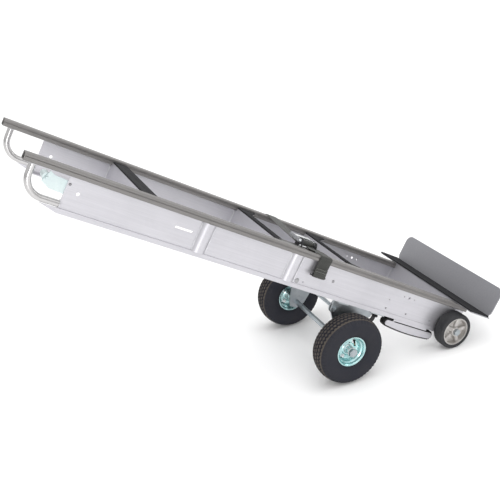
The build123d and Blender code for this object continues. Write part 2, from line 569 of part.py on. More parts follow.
SPRING_R, SPRING_WIRE, SPRING_PITCH, SPRING_TURNS = 7.4, 1.1, 3.0, 5
with BuildPart() as catch_spring:
    with BuildLine() as coil:
        Helix(SPRING_PITCH, SPRING_PITCH * SPRING_TURNS, SPRING_R, center=at(EAR_X, -EAR_Y + 5, EAR_Z),
              direction=(0, 1, 0))
    with BuildSketch(Plane(coil.line @ 0, z_dir=coil.line % 0)):
        Circle(SPRING_WIRE)
    sweep(path=coil.wires()[0], is_frenet=True)
keep(catch_spring, "catch_spring")

# ---- strap and its ratchet ------------------------------------------------------------------------------
CHEEK_T, SPOOL_R, FLANGE_R, FLANGE_T, TOOTH_R, TEETH = 2.5, 5.0, 10.0, 2.0, 2.2, 10
BASE_OUTER, BASE_INNER = 180.0, 134.0
cheek_inner = RATCHET_X - STRAP_WIDTH / 2 - 2.0, RATCHET_X + STRAP_WIDTH / 2 + 2.0
base_z = CROSSBAR_TOP + PAD_THICK
base_end = CROSSBARS["middle"][0] - 4
with BuildPart() as ratchet_frame:
    slab(cheek_inner[0] - CHEEK_T, base_end, BASE_INNER + 4, BASE_OUTER, base_z, base_z + CHEEK_T)
    for x in (cheek_inner[0] - CHEEK_T, cheek_inner[1]):
        with BuildSketch(crosswise(x)):
            with BuildLine():
                Polyline((BASE_INNER, base_z), (BASE_OUTER, base_z), (BASE_OUTER, RATCHET_Z),
                         (RATCHET_Y + 14, RATCHET_Z + 12), (RATCHET_Y - 10, RATCHET_Z + 12),
                         (BASE_INNER, 4.0), close=True)
            make_face()
            with Locations((RATCHET_Y, RATCHET_Z)):
                Circle(SPOOL_R + RUNNING, mode=Mode.SUBTRACT)
        extrude(amount=CHEEK_T)
keep(ratchet_frame, "ratchet_frame")

spool_axis = Plane(origin=at(0, RATCHET_Y, RATCHET_Z), x_dir=(0, 1, 0), z_dir=DECK.x_dir)
with BuildPart() as spool:
    with BuildSketch(spool_axis.offset(cheek_inner[0] - 10)):
        Circle(SPOOL_R)
    extrude(amount=STRAP_WIDTH + 24.0)
    for x in (cheek_inner[0] + 0.4, cheek_inner[1] - FLANGE_T - 0.4):
        with BuildSketch(spool_axis.offset(x)):
            Circle(FLANGE_R)
            with PolarLocations(FLANGE_R, TEETH):
                RegularPolygon(TOOTH_R, 3)
        extrude(amount=FLANGE_T)
    with BuildSketch(spool_axis.offset(cheek_inner[0] + 3)):
        Rectangle(3 * SPOOL_R, STRAP_THICK)
    extrude(amount=STRAP_WIDTH - 2.0, mode=Mode.SUBTRACT)
keep(spool, "ratchet_spool")

LEVER_LENGTH, LEVER_ARM, LEVER_T, LEVER_GAP, GRIP_DEPTH = 62.0, 14.0, 2.5, 0.5, 24.0
lever_x0 = cheek_inner[0] - CHEEK_T - LEVER_GAP - LEVER_T
lever_x1 = cheek_inner[1] + CHEEK_T + LEVER_GAP
with BuildPart() as lever:
    for x in (lever_x0, lever_x1):
        with BuildSketch(crosswise(x)):
            with Locations((RATCHET_Y - LEVER_LENGTH / 2, RATCHET_Z + 2)):
                SlotOverall(LEVER_LENGTH + 20, LEVER_ARM)
            with Locations((RATCHET_Y, RATCHET_Z)):
                Circle(SPOOL_R + RUNNING, mode=Mode.SUBTRACT)
        extrude(amount=LEVER_T)
    grip_y, grip_z = RATCHET_Y - LEVER_LENGTH - 4, RATCHET_Z + 4
    slab(lever_x0, lever_x1 + LEVER_T, grip_y, grip_y + GRIP_DEPTH, grip_z, grip_z + LEVER_T)
keep(lever, "ratchet_lever")

STRAP_Z, STRAP_CLEAR, HEM_Z, LEFT_HEM_Z = 1.0, 4.0, -66.0, -28.0
DIAGONAL_START, DIAGONAL_END, STRAP_END, RIGHT_START = -185.0, 100.0, 130.0, 181.0
HEM_ROD_R = 3.0
edge = RAIL_Y + RAIL_WIDTH / 2 + STRAP_CLEAR
strap_x0, strap_x1 = STRAP_X - STRAP_WIDTH / 2, STRAP_X + STRAP_WIDTH / 2
ratchet_x0, ratchet_x1 = RATCHET_X - STRAP_WIDTH / 2, RATCHET_X + STRAP_WIDTH / 2
with BuildPart() as strap:
    with BuildSketch(level(STRAP_Z)):
        with BuildLine():
            Polyline((strap_x0, -edge), (strap_x1, -edge), (strap_x1, DIAGONAL_START),
                     (ratchet_x1, DIAGONAL_END), (ratchet_x1, STRAP_END), (ratchet_x0, STRAP_END),
                     (ratchet_x0, DIAGONAL_END), (strap_x0, DIAGONAL_START), close=True)
        make_face()
    extrude(amount=STRAP_THICK)
    slab(strap_x0, strap_x1, -edge, -edge + STRAP_THICK, LEFT_HEM_Z, STRAP_Z)
    slab(strap_x0, strap_x1, RIGHT_START, edge, STRAP_Z, STRAP_Z + STRAP_THICK)
    slab(strap_x0, strap_x1, edge - STRAP_THICK, edge, HEM_Z, STRAP_Z)
keep(strap, "strap_webbing")

with BuildPart() as strap_rod:
    with BuildSketch(crosswise(strap_x0 - 4)):
        with Locations((edge - STRAP_THICK / 2, HEM_Z - HEM_ROD_R - 0.5)):
            Circle(HEM_ROD_R)
    extrude(amount=STRAP_WIDTH + 14.0)
keep(strap_rod, "strap_end_rod")

# ---- strap winder at the handle end ------------------------------------------------------------------------
plate_y = RAIL_Y - SHEET / 2 - SHEET
wx, wz = WINDER
PAWL, PAWL_PIN_R, PAWL_EYE_R, PAWL_HALF = (wx - 28.0, wz - 6.0), 3.0, 6.5, 2.0
WINDER_SHAFT_R, DRUM_R, DRUM_LENGTH, WINDER_RATCHET_R = 5.0, 11.0, 40.0, 14.0
CRANK_HEX, CRANK_REACH = 15.0, 16.0
WINDER_PLATE = [(1606.0, -40.0), (1672.0, -36.0), (wx - 2, wz + 22), (wx + 12, wz - 12), (1678.0, -76.0),
                (1606.0, -80.0)]
with BuildPart() as winder_bracket:
    with BuildSketch(lengthwise(plate_y + SHEET / 2)):
        with BuildLine():
            Polyline(WINDER_PLATE, close=True)
        make_face()
        with Locations(WINDER):
            Circle(WINDER_SHAFT_R + RUNNING, mode=Mode.SUBTRACT)
    extrude(amount=SHEET / 2, both=True)
    rod(*PAWL, PAWL_PIN_R, plate_y, plate_y - 5.6)
    rod(*PAWL, PAWL_PIN_R + 2, plate_y - 5.6, plate_y - 8.0)
keep(winder_bracket, "winder_bracket")

drum_face, crank_end = plate_y - 6.0, plate_y - DRUM_LENGTH - CRANK_REACH
with BuildPart() as winder_shaft:
    rod(wx, wz, WINDER_SHAFT_R, plate_y + 2 * SHEET, crank_end)
    rod(wx, wz, DRUM_R, drum_face, drum_face - DRUM_LENGTH)
    rod(wx, wz, WINDER_RATCHET_R, plate_y - 0.6, plate_y - 4.6)
    hex_prism(wx, wz, CRANK_HEX, crank_end, crank_end + 7.0)
keep(winder_shaft, "winder_shaft")

with BuildPart() as winder_pawl:
    with BuildSketch(lengthwise(plate_y - 2.6)):
        with BuildLine():
            tip_x = wx - WINDER_RATCHET_R - 0.6
            Polyline((PAWL[0] - 7, PAWL[1] - 6), (PAWL[0] - 7, PAWL[1] + 6), (tip_x, wz + 4), (tip_x, wz - 3),
                     close=True)
        make_face()
        with Locations(PAWL):
            Circle(PAWL_EYE_R)
            Circle(PAWL_PIN_R + RUNNING, mode=Mode.SUBTRACT)
    extrude(amount=PAWL_HALF, both=True)
keep(winder_pawl, "winder_pawl")
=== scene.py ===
import json
import math
import bmesh
import bpy
import numpy as np
from mathutils import Matrix, Vector


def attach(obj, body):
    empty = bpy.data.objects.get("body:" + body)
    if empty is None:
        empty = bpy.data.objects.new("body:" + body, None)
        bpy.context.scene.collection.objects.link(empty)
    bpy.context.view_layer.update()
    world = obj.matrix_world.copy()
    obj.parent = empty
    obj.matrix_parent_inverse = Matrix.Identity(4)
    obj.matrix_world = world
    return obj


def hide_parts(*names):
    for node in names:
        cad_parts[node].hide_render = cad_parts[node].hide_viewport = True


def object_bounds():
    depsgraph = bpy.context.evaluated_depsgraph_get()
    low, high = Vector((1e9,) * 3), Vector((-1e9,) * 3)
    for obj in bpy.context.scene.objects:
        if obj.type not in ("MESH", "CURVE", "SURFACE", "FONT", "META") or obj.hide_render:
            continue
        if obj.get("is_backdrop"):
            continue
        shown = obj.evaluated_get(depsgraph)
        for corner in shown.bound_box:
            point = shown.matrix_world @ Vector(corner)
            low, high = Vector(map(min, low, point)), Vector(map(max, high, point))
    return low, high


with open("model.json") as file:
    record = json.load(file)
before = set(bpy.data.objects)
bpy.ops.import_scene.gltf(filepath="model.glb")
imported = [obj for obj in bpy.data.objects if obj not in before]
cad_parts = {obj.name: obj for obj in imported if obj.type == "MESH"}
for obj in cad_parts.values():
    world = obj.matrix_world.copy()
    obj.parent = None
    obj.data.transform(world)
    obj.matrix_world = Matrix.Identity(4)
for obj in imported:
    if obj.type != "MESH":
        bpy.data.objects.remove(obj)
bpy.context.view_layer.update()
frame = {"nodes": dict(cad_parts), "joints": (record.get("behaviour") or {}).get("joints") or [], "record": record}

# A convertible hand truck on its four wheels. Outlines and places are written in millimetres and MM
# turns them into metres. DECK holds the truck's own directions, read from the frame: x along the rails
# from the nose, y across to the right-hand side, z square to the load deck and zero at the rail tops.
MM = 0.001
joints = {j["name"]: j for j in frame["joints"]}
nodes = frame["nodes"]
SIDES = {"right": 1, "left": -1}
HANDLE_X, HANDLE_Z = 1741.0, -107.5            # the far upright and the lower leg of both handles

# ---- places taken from the frame -----------------------------------------------------------------
AXLE_X, AXLE_Y, AXLE_Z = 497, 230, -279         # right-hand main wheel centre, in deck directions
MAIN_AXLE = Vector((AXLE_X, AXLE_Y, AXLE_Z)) * MM
deck_x = Vector(joints["ratchet_spool_spin"]["axis"]).normalized()
deck_y = Vector((0, 1, 0))
deck_z = deck_x.cross(deck_y)
deck_turn = Matrix((deck_x, deck_y, deck_z)).transposed()
DECK = Matrix.Translation(Vector(joints["main_wheel_right_spin"]["pos_m"]) - deck_turn @ MAIN_AXLE)
DECK = DECK @ deck_turn.to_4x4()


def deck_place(joint):
    """A joint's point in deck directions."""
    return DECK.inverted() @ Vector(joints[joint]["pos_m"])


# ---- mesh tools -----------------------------------------------------------------------------------
def new_piece(name, verts, faces, body, slot, material, place=DECK, sharp=35.0):
    """Make a mesh piece that rides on a body; place takes its vertices into the frame."""
    mesh = bpy.data.meshes.new(name)
    mesh.from_pydata([tuple(v) for v in verts], [], faces)
    mesh.transform(place)
    work = bmesh.new()
    work.from_mesh(mesh)
    bmesh.ops.remove_doubles(work, verts=work.verts, dist=1e-6)
    bmesh.ops.recalc_face_normals(work, faces=work.faces)
    work.to_mesh(mesh)
    work.free()
    mesh.polygons.foreach_set("use_smooth", [True] * len(mesh.polygons))
    mesh.set_sharp_from_angle(angle=math.radians(sharp))
    piece = bpy.data.objects.new(name, mesh)
    bpy.context.scene.collection.objects.link(piece)
    piece.data.materials.append(material)
    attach(piece, body)
    return piece


def grid_faces(rows, columns, wrap_rows=False, wrap_columns=False):
    """Quads over a grid of vertices numbered row by row."""
    faces = []
    for i in range(rows if wrap_rows else rows - 1):
        for j in range(columns if wrap_columns else columns - 1):
            a, b = i * columns, ((i + 1) % rows) * columns
            k = (j + 1) % columns
            faces.append((a + j, b + j, b + k, a + k))
    return faces


def through(points, count):
    """Count points along a smooth line through the given ones (centripetal blend)."""
    pts = np.array(points, float)
    ends = np.vstack([2 * pts[0] - pts[1], pts, 2 * pts[-1] - pts[-2]])
    seg = np.linalg.norm(np.diff(pts, axis=0), axis=1)
    reach = np.concatenate([[0], np.cumsum(seg)])
    out = []
    for d in np.linspace(0, reach[-1], count):
        i = min(int(np.searchsorted(reach, d, side="right")) - 1, len(pts) - 2)
        t = (d - reach[i]) / seg[i]
        p0, p1, p2, p3 = ends[i:i + 4]
        out.append(0.5 * (2 * p1 + (p2 - p0) * t + (2 * p0 - 5 * p1 + 4 * p2 - p3) * t * t
                          + (3 * p1 - p0 - 3 * p2 + p3) * t ** 3))
    return np.array(out)


def lathe(outline, segments):
    """Vertices and faces of a closed (y, radius) outline turned about the y axis."""
    verts = []
    for i in range(segments):
        a = 2 * math.pi * i / segments
        verts += [(r * math.cos(a), y, r * math.sin(a)) for y, r in outline]
    return verts, grid_faces(segments, len(outline), wrap_rows=True, wrap_columns=True)


def rounded(outline, radius, steps=3):
    """A closed (y, r) outline with each corner cut by a short arc."""
    out, n = [], len(outline)
    for i in range(n):
        p, a, b = (np.array(outline[k % n], float) for k in (i, i - 1, i + 1))
        ra, rb = a - p, b - p
        cut = min(radius, np.linalg.norm(ra) * 0.45, np.linalg.norm(rb) * 0.45)
        s, e = p + ra / np.linalg.norm(ra) * cut, p + rb / np.linalg.norm(rb) * cut
        for k in range(steps + 1):
            t = k / steps
            out.append(tuple((1 - t) ** 2 * s + 2 * t * (1 - t) * p + t * t * e))
    return out


def tube(path, radius, sides=12, closed=False):
    """Vertices and faces of a round tube along points; radius is a number or one for each point."""
    path = [Vector(p) for p in path]
    n = len(path)
    radii = [radius] * n if np.isscalar(radius) else list(radius)
    verts, turn = [], None
    for i, p in enumerate(path):
        before = path[(i - 1) % n if closed else max(i - 1, 0)]
        after = path[(i + 1) % n if closed else min(i + 1, n - 1)]
        along = (after - before).normalized()
        if turn is None:
            turn = along.orthogonal().normalized()
        turn = (turn - along * turn.dot(along)).normalized()
        other = along.cross(turn)
        for k in range(sides):
            a = 2 * math.pi * k / sides
            verts.append(p + (turn * math.cos(a) + other * math.sin(a)) * radii[i])
    faces = grid_faces(n, sides, wrap_rows=closed, wrap_columns=True)
    if not closed:
        faces += [tuple(range(sides)), tuple(range((n - 1) * sides, n * sides))]
    return verts, faces


def join(*shapes):
    """Several (vertices, faces) pairs as one."""
    verts, faces = [], []
    for v, f in shapes:
        base = len(verts)
        verts += [tuple(p) for p in v]
        faces += [tuple(base + i for i in face) for face in f]
    return verts, faces


# ---- materials ------------------------------------------------------------------------------------
TILT = math.atan2(deck_x.z, deck_x.x)


class Finish:
    """A Principled material and the nodes that give it its grain."""

    def __init__(self, name, colour, metallic=0.0, roughness=0.5, **sockets):
        self.material = bpy.data.materials.new(name)
        self.material.use_nodes = True
        self.tree = self.material.node_tree
        self.shader = self.tree.nodes["Principled BSDF"]
        self.colour = (*colour, 1.0)
        self.shader.inputs["Base Color"].default_value = self.colour
        self.shader.inputs["Metallic"].default_value = metallic
        self.shader.inputs["Roughness"].default_value = roughness
        for socket, value in sockets.items():
            self.shader.inputs[socket.replace("_", " ")].default_value = value
        self.place = self.node("ShaderNodeTexCoord").outputs["Object"]
        self.place = self.stretched((1, 1, 1), turn=(0, TILT, 0))
        self.normal = None

    def node(self, kind, inputs=(), **settings):
        """Add a node; inputs maps socket names or numbers to values or to other sockets."""
        made = self.tree.nodes.new(kind)
        for key, value in settings.items():
            setattr(made, key, value)
        for key, value in dict(inputs).items():
            if isinstance(value, bpy.types.NodeSocket):
                self.tree.links.new(value, made.inputs[key])
            else:
                made.inputs[key].default_value = value
        return made

    def stretched(self, scale, turn=(0, 0, 0)):
        """The piece's own coordinates, turned and scaled."""
        inputs = {"Vector": self.place, "Scale": scale, "Rotation": turn}
        return self.node("ShaderNodeMapping", inputs).outputs[0]

    def noise(self, scale, detail=3.0, rough=0.55, stretch=(1, 1, 1), distortion=0.0):
        vector = self.stretched(stretch)
        return self.node("ShaderNodeTexNoise", {"Vector": vector, "Scale": scale, "Detail": detail,
                                                "Roughness": rough, "Distortion": distortion}).outputs["Fac"]

    def cells(self, scale):
        inputs = {"Vector": self.place, "Scale": scale}
        return self.node("ShaderNodeTexVoronoi", inputs, feature="F1").outputs["Distance"]

    def wave(self, scale, axis, distortion=0.0):
        inputs = {"Vector": self.place, "Scale": scale, "Distortion": distortion}
        return self.node("ShaderNodeTexWave", inputs, bands_direction=axis).outputs["Fac"]

    def spread(self, value, low, high, to_low=0.0, to_high=1.0):
        """A value's range, moved and clamped."""
        return self.node("ShaderNodeMapRange", {"Value": value, "From Min": low, "From Max": high,
                                                "To Min": to_low, "To Max": to_high}).outputs[0]

    def math(self, operation, a, b):
        return self.node("ShaderNodeMath", {0: a, 1: b}, operation=operation).outputs[0]

    def tint(self, fac, colour, amount=1.0):
        """Lay a second colour over the base where fac is high."""
        socket = self.shader.inputs["Base Color"]
        under = socket.links[0].from_socket if socket.is_linked else self.colour
        if amount != 1.0:
            fac = self.math("MULTIPLY", fac, amount)
        mix = self.node("ShaderNodeMix", data_type="RGBA")
        for index, value in ((0, fac), (6, under), (7, (*colour, 1.0))):
            if isinstance(value, bpy.types.NodeSocket):
                self.tree.links.new(value, mix.inputs[index])
            else:
                mix.inputs[index].default_value = value
        self.tree.links.new(mix.outputs[2], socket)
        return self

    def roughen(self, value, low, high):
        """Roughness that runs from low to high with a value from 0 to 1."""
        self.tree.links.new(self.spread(value, 0.25, 0.75, low, high), self.shader.inputs["Roughness"])
        return self

    def bump(self, height, distance, strength=1.0):
        inputs = {"Height": height, "Distance": distance, "Strength": strength}
        if self.normal is not None:
            inputs["Normal"] = self.normal
        self.normal = self.node("ShaderNodeBump", inputs).outputs[0]
        self.tree.links.new(self.normal, self.shader.inputs["Normal"])
        return self


def worn_metal(name, colour, dark, roughness, grain, metallic=0.9, scratches=0.25):
    """Sheet or extruded metal: grain along the rails, soft mottling and a few long scratches."""
    f = Finish(name, colour, metallic, roughness)
    streaks = f.noise(1.0, detail=4, stretch=(grain * 0.02, grain, grain))
    clouds = f.noise(5.0, detail=4, rough=0.6)
    smudges = f.noise(22.0, detail=5, rough=0.7)
    marks = f.spread(f.noise(1.0, detail=2, stretch=(9, 260, 340), distortion=0.4), 0.66, 0.78)
    f.tint(f.spread(streaks, 0.3, 0.7), dark, 0.35)
    f.tint(f.spread(clouds, 0.35, 0.75), dark, 0.30)
    f.tint(f.spread(smudges, 0.55, 0.85), dark, 0.35)
    f.tint(marks, tuple(min(1.0, c * 1.25) for c in colour), scratches)
    f.roughen(f.math("ADD", f.math("MULTIPLY", clouds, 0.6), f.math("MULTIPLY", streaks, 0.4)),
              roughness - 0.08, roughness + 0.12)
    f.bump(streaks, 0.00006, 0.6)
    f.bump(marks, 0.00008, 0.4)
    return f.material


def zinc(name, colour, shade, roughness):
    """Bright zinc plate: crystal spangle, a drifting passivation tint and stains."""
    f = Finish(name, colour, 1.0, roughness)
    spangle = f.cells(260.0)
    drift = f.noise(14.0, detail=4, rough=0.6)
    stain = f.noise(60.0, detail=5, rough=0.65)
    f.tint(f.spread(drift, 0.35, 0.7), shade, 0.8)
    f.tint(f.spread(spangle, 0.2, 0.8), tuple(c * 0.8 for c in colour), 0.25)
    f.tint(f.spread(stain, 0.6, 0.8), tuple(c * 0.55 for c in shade), 0.5)
    f.roughen(stain, roughness - 0.05, roughness + 0.2)
    f.bump(spangle, 0.00004, 0.5)
    return f.material


def rubber(name, colour, dust, roughness, grain=900.0, dusty=0.25):
    """Moulded rubber: fine pitting, bloom and dust."""
    f = Finish(name, colour, 0.0, roughness, Specular_IOR_Level=0.2)
    pits = f.noise(grain, detail=4, rough=0.6)
    bloom = f.noise(18.0, detail=5, rough=0.65)
    scuff = f.noise(70.0, detail=4, rough=0.6)
    f.tint(f.spread(bloom, 0.35, 0.75), dust, dusty)
    f.tint(f.spread(scuff, 0.6, 0.8), dust, dusty * 0.8)
    f.roughen(bloom, roughness - 0.1, roughness + 0.1)
    f.bump(pits, 0.0002, 0.5)
    return f.material


def painted(name, colour, worn, roughness):
    """Powder coat: orange peel and chips that show a lighter ground."""
    f = Finish(name, colour, 0.0, roughness, Specular_IOR_Level=0.5)
    peel = f.noise(420.0, detail=2)
    chips = f.noise(120.0, detail=5, rough=0.7)
    f.tint(f.spread(chips, 0.66, 0.72), worn, 0.6)
    f.roughen(f.noise(30.0, detail=4), roughness - 0.08, roughness + 0.12)
    f.bump(peel, 0.00015, 0.5)
    return f.material


def moulded(name, colour):
    """Moulded nylon: spark-eroded grain and rubbed patches."""
    f = Finish(name, colour, 0.0, 0.5)
    grain = f.noise(1500.0, detail=3)
    rubbed = f.noise(45.0, detail=4)
    f.tint(f.spread(rubbed, 0.55, 0.8), tuple(c * 2.2 for c in colour), 0.5)
    f.roughen(rubbed, 0.38, 0.6)
    f.bump(grain, 0.0001, 0.5)
    return f.material


def webbing_cloth(name, colour, thread, edge):
    """Woven polyester webbing, drawn in deck directions: chevrons, threads and darker soiled patches at random."""
    f = Finish(name, colour, 0.0, 0.75, Sheen_Weight=0.12, Sheen_Roughness=0.5)
    across = f.wave(300.0, "X")
    along = f.wave(260.0, "Y", distortion=1.0)
    down = f.wave(260.0, "Z", distortion=1.0)
    weave = f.math("MULTIPLY", across, f.math("MULTIPLY", along, down))
    fuzz = f.noise(700.0, detail=4, rough=0.7)
    soil = f.noise(35.0, detail=5, rough=0.65)
    f.tint(f.spread(weave, 0.05, 0.7), thread, 0.7)
    f.tint(f.spread(soil, 0.45, 0.8), edge, 0.55)
    f.roughen(fuzz, 0.65, 0.9)
    f.bump(weave, 0.0005, 0.8)
    f.bump(fuzz, 0.0002, 0.4)
    return f.material


def cast_alloy(name, colour, shade):
    """Sand-cast aluminium: grainy, with greyer patches spread at random."""
    f = Finish(name, colour, 0.85, 0.42)
    sand = f.noise(520.0, detail=5, rough=0.7)
    grime = f.noise(28.0, detail=5, rough=0.65)
    f.tint(f.spread(grime, 0.35, 0.7), shade, 0.75)
    f.tint(f.spread(sand, 0.45, 0.75), tuple(c * 0.6 for c in shade), 0.4)
    f.roughen(sand, 0.34, 0.62)
    f.bump(sand, 0.0004, 0.6)
    return f.material


PLATE = worn_metal("plate_alloy", (0.60, 0.592, 0.625), (0.46, 0.455, 0.485), 0.40, 320.0, metallic=0.75)
RAIL = worn_metal("rail_alloy", (0.25, 0.24, 0.235), (0.16, 0.155, 0.15), 0.45, 500.0, metallic=0.7)
HANDLE = worn_metal("handle_alloy", (0.58, 0.57, 0.57), (0.42, 0.415, 0.415), 0.24, 300.0, metallic=1.0)
TOE = worn_metal("toe_steel", (0.30, 0.30, 0.32), (0.24, 0.24, 0.255), 0.46, 180.0, metallic=0.6)
BRACKET_ZINC = zinc("zinc_plate", (0.46, 0.49, 0.51), (0.31, 0.34, 0.37), 0.34)
WINDER_ZINC = zinc("winder_zinc", (0.64, 0.72, 0.72), (0.50, 0.59, 0.61), 0.32)
RIM_ZINC = zinc("zinc_rim", (0.60, 0.82, 0.81), (0.22, 0.46, 0.49), 0.16)
SHAFT_STEEL = zinc("axle_steel", (0.46, 0.50, 0.52), (0.30, 0.34, 0.37), 0.26)
HUB_STEEL = zinc("hub_steel", (0.80, 0.80, 0.80), (0.60, 0.62, 0.64), 0.22)
BRIGHT = zinc("ratchet_zinc", (0.82, 0.83, 0.84), (0.66, 0.69, 0.70), 0.18)
CAST = cast_alloy("cast_hub", (0.62, 0.60, 0.58), (0.36, 0.345, 0.33))
WELD = worn_metal("weld_bead", (0.68, 0.68, 0.70), (0.36, 0.36, 0.38), 0.34, 700.0)
BLACK_STEEL = painted("black_steel", (0.018, 0.018, 0.020), (0.25, 0.25, 0.26), 0.38)
NYLON = moulded("black_plastic", (0.020, 0.020, 0.022))
TYRE = rubber("pneumatic_rubber", (0.022, 0.023, 0.031), (0.085, 0.078, 0.070), 0.78, 700.0, dusty=0.16)
TREAD = rubber("worn_tread", (0.058, 0.050, 0.045), (0.135, 0.115, 0.095), 0.75, 700.0, dusty=0.5)
SOLID_TYRE = rubber("solid_rubber", (0.028, 0.029, 0.032), (0.09, 0.088, 0.085), 0.60, 900.0, dusty=0.30)
STEM = rubber("stem_rubber", (0.010, 0.010, 0.011), (0.05, 0.05, 0.05), 0.5, 900.0)
PAD = rubber("pad_rubber", (0.010, 0.010, 0.012), (0.035, 0.035, 0.036), 0.7, 600.0)
BELT = rubber("belt_rubber", (0.012, 0.012, 0.013), (0.05, 0.048, 0.045), 0.65, 700.0)
WEBBING = webbing_cloth("webbing", (0.034, 0.035, 0.032), (0.070, 0.072, 0.064), (0.016, 0.017, 0.016))
ZINC_WELD = zinc("zinc_weld", (0.60, 0.62, 0.60), (0.36, 0.37, 0.36), 0.42)
SPRING_STEEL = zinc("spring_steel", (0.70, 0.71, 0.72), (0.45, 0.47, 0.48), 0.22)
RIVET_STEEL = zinc("rivet_steel", (0.42, 0.42, 0.43), (0.20, 0.20, 0.21), 0.30)
THREAD = webbing_cloth("stitch_thread", (0.30, 0.31, 0.28), (0.40, 0.41, 0.37), (0.15, 0.15, 0.13))
BRASS = zinc("valve_brass", (0.75, 0.62, 0.32), (0.55, 0.44, 0.22), 0.25)

SLOT_FINISH = {
    "rail_alloy": RAIL, "plate_alloy": PLATE, "handle_alloy": HANDLE, "toe_steel": TOE,
    "zinc_plate": BRACKET_ZINC, "zinc_rim": RIM_ZINC, "axle_steel": SHAFT_STEEL, "cast_hub": CAST,
    "black_plastic": NYLON,
    "black_steel": BLACK_STEEL, "ratchet_zinc": BRIGHT, "pneumatic_rubber": TYRE, "solid_rubber": SOLID_TYRE,
    "belt_rubber": BELT, "webbing": WEBBING,
}
EDGE_SOFTENING = {
    "rail_alloy": 0.5, "plate_alloy": 0.5, "toe_steel": 1.0, "zinc_plate": 0.6, "axle_steel": 0.5,
    "black_steel": 0.5, "ratchet_zinc": 0.3,
}
EDGE_ANGLE = math.radians(40)
for row in frame["record"]["subparts"]:
    node = nodes[row["node"]]
    slot = row["material_slot"]
    node.data.materials.clear()
    node.data.materials.append(WINDER_ZINC if row["node"].startswith("winder_") else SLOT_FINISH[slot])
    if slot in EDGE_SOFTENING:
        soften = node.modifiers.new("soft_edges", "BEVEL")
        soften.width = EDGE_SOFTENING[slot] * MM
        soften.segments = 2
        soften.limit_method = "ANGLE"
        soften.angle_limit = EDGE_ANGLE
        soften.harden_normals = True


# ---- big pneumatic wheels ------------------------------------------------------------------------
TREAD_HALF, TREAD_R, CROWN_DROP = 31.0, 129.0, 6.0
TREAD_TEETH, TYRE_SEGMENTS, TREAD_SAMPLES, WALL_SAMPLES = 54, 432, 78, 40
GROOVES, GROOVE_HALF, GROOVE_DEPTH, ZIGZAG = (-19.5, -6.5, 6.5, 19.5), 2.3, 5.5, 2.6
NOTCH_R, NOTCH_DEPTH, RING_RADII, RING_PROUD, RING_HALF = 111, 1.7, (68, 72, 108), 0.7, 1.3
LINING_SAMPLES, WORN_DROP = 24, 0.4


def zigzag(turns):
    """Triangle wave from -1 to 1."""
    return 4 * np.abs(turns % 1.0 - 0.5) - 1


def tyre_ring():
    """The tyre about its own centre: zigzag tread, notched shoulders, ringed walls, hollow inside.

    It comes with a list that says which faces are the tops of the tread's ribs.
    """
    wall = through([(TREAD_HALF, TREAD_R - CROWN_DROP), (36.5, 118.5), (40.6, 107), (42, 92), (40.2, 76),
                    (35.5, 64.5), (30.4, 59.6), (28.0, 56.5), (27.4, 53.5), (22, 53)], WALL_SAMPLES)
    y_tread = np.linspace(-TREAD_HALF, TREAD_HALF, TREAD_SAMPLES)
    tread = np.column_stack([y_tread, TREAD_R - CROWN_DROP * (y_tread / TREAD_HALF) ** 2])
    mirrored = wall * (-1, 1)
    lining = through([(-20.5, 56), (-29, 70), (-35, 92), (-28, 114), (0, 121), (28, 114), (35, 92), (29, 70),
                      (20.5, 56)], LINING_SAMPLES)
    outline = np.vstack([mirrored[::-1], tread[1:-1], wall, lining[::-1]])
    y, r = outline[:, 0], outline[:, 1]
    n_wall, n_tread = len(wall), len(tread) - 2
    is_tread = np.zeros(len(outline), bool)
    is_tread[n_wall:n_wall + n_tread] = True
    is_wall = np.zeros(len(outline), bool)
    is_wall[:n_wall] = True
    is_wall[n_wall + n_tread:2 * n_wall + n_tread] = True
    rings = sum(RING_PROUD * np.exp(-((r - at) / RING_HALF) ** 2) for at in RING_RADII)
    verts, worn = [], []
    for i in range(TYRE_SEGMENTS):
        turn = i / TYRE_SEGMENTS * TREAD_TEETH
        drop = np.zeros(len(outline))
        for k, centre in enumerate(GROOVES):
            gap = np.abs(y - centre - ZIGZAG * zigzag(turn + 0.5 * (k % 2)))
            drop = np.maximum(drop, GROOVE_DEPTH * np.clip((GROOVE_HALF + 0.6 - gap) / 1.2, 0, 1))
        drop[~is_tread] = 0
        notch = np.clip((zigzag(turn) - 0.05) * 4, 0, 1) * np.clip((r - NOTCH_R) / 4, 0, 1) * NOTCH_DEPTH
        drop[is_wall] = notch[is_wall]
        out_y = np.sign(y) * np.where(is_wall, rings - 0.7 * drop, 0)
        radius = r - drop * np.where(is_wall, 0.6, 1.0)
        a = 2 * math.pi * i / TYRE_SEGMENTS
        verts += [(MM * rr * math.cos(a), MM * (yy + dy), MM * rr * math.sin(a))
                  for rr, yy, dy in zip(radius, y, out_y)]
        worn += list(is_tread & (drop < WORN_DROP))
    faces = grid_faces(TYRE_SEGMENTS, len(outline), wrap_rows=True, wrap_columns=True)
    return (verts, faces), [all(worn[v] for v in face) for face in faces]


def scaled(outline):
    """An outline in metres."""
    return [(y * MM, r * MM) for y, r in outline]


def turned_piece(outline, segments=128, corner=0.8):
    """A closed outline in millimetres, corners softened, turned about the wheel's axle."""
    return lathe(rounded(scaled(outline), corner * MM), segments)


def shifted(shape, offset):
    """A shape moved by an offset."""
    verts, faces = shape
    return [Vector(v) + Vector(offset) for v in verts], faces


def sided(shape, side):
    """A right-hand shape, or its mirror image for the left-hand side."""
    verts, faces = shape
    return [(v[0], v[1] * side, v[2]) for v in verts], faces


WASHER_THICK, HEAD_CORE_R, WASHER_SEGMENTS, HEXAGON = 1.2, 0.4, 32, 6


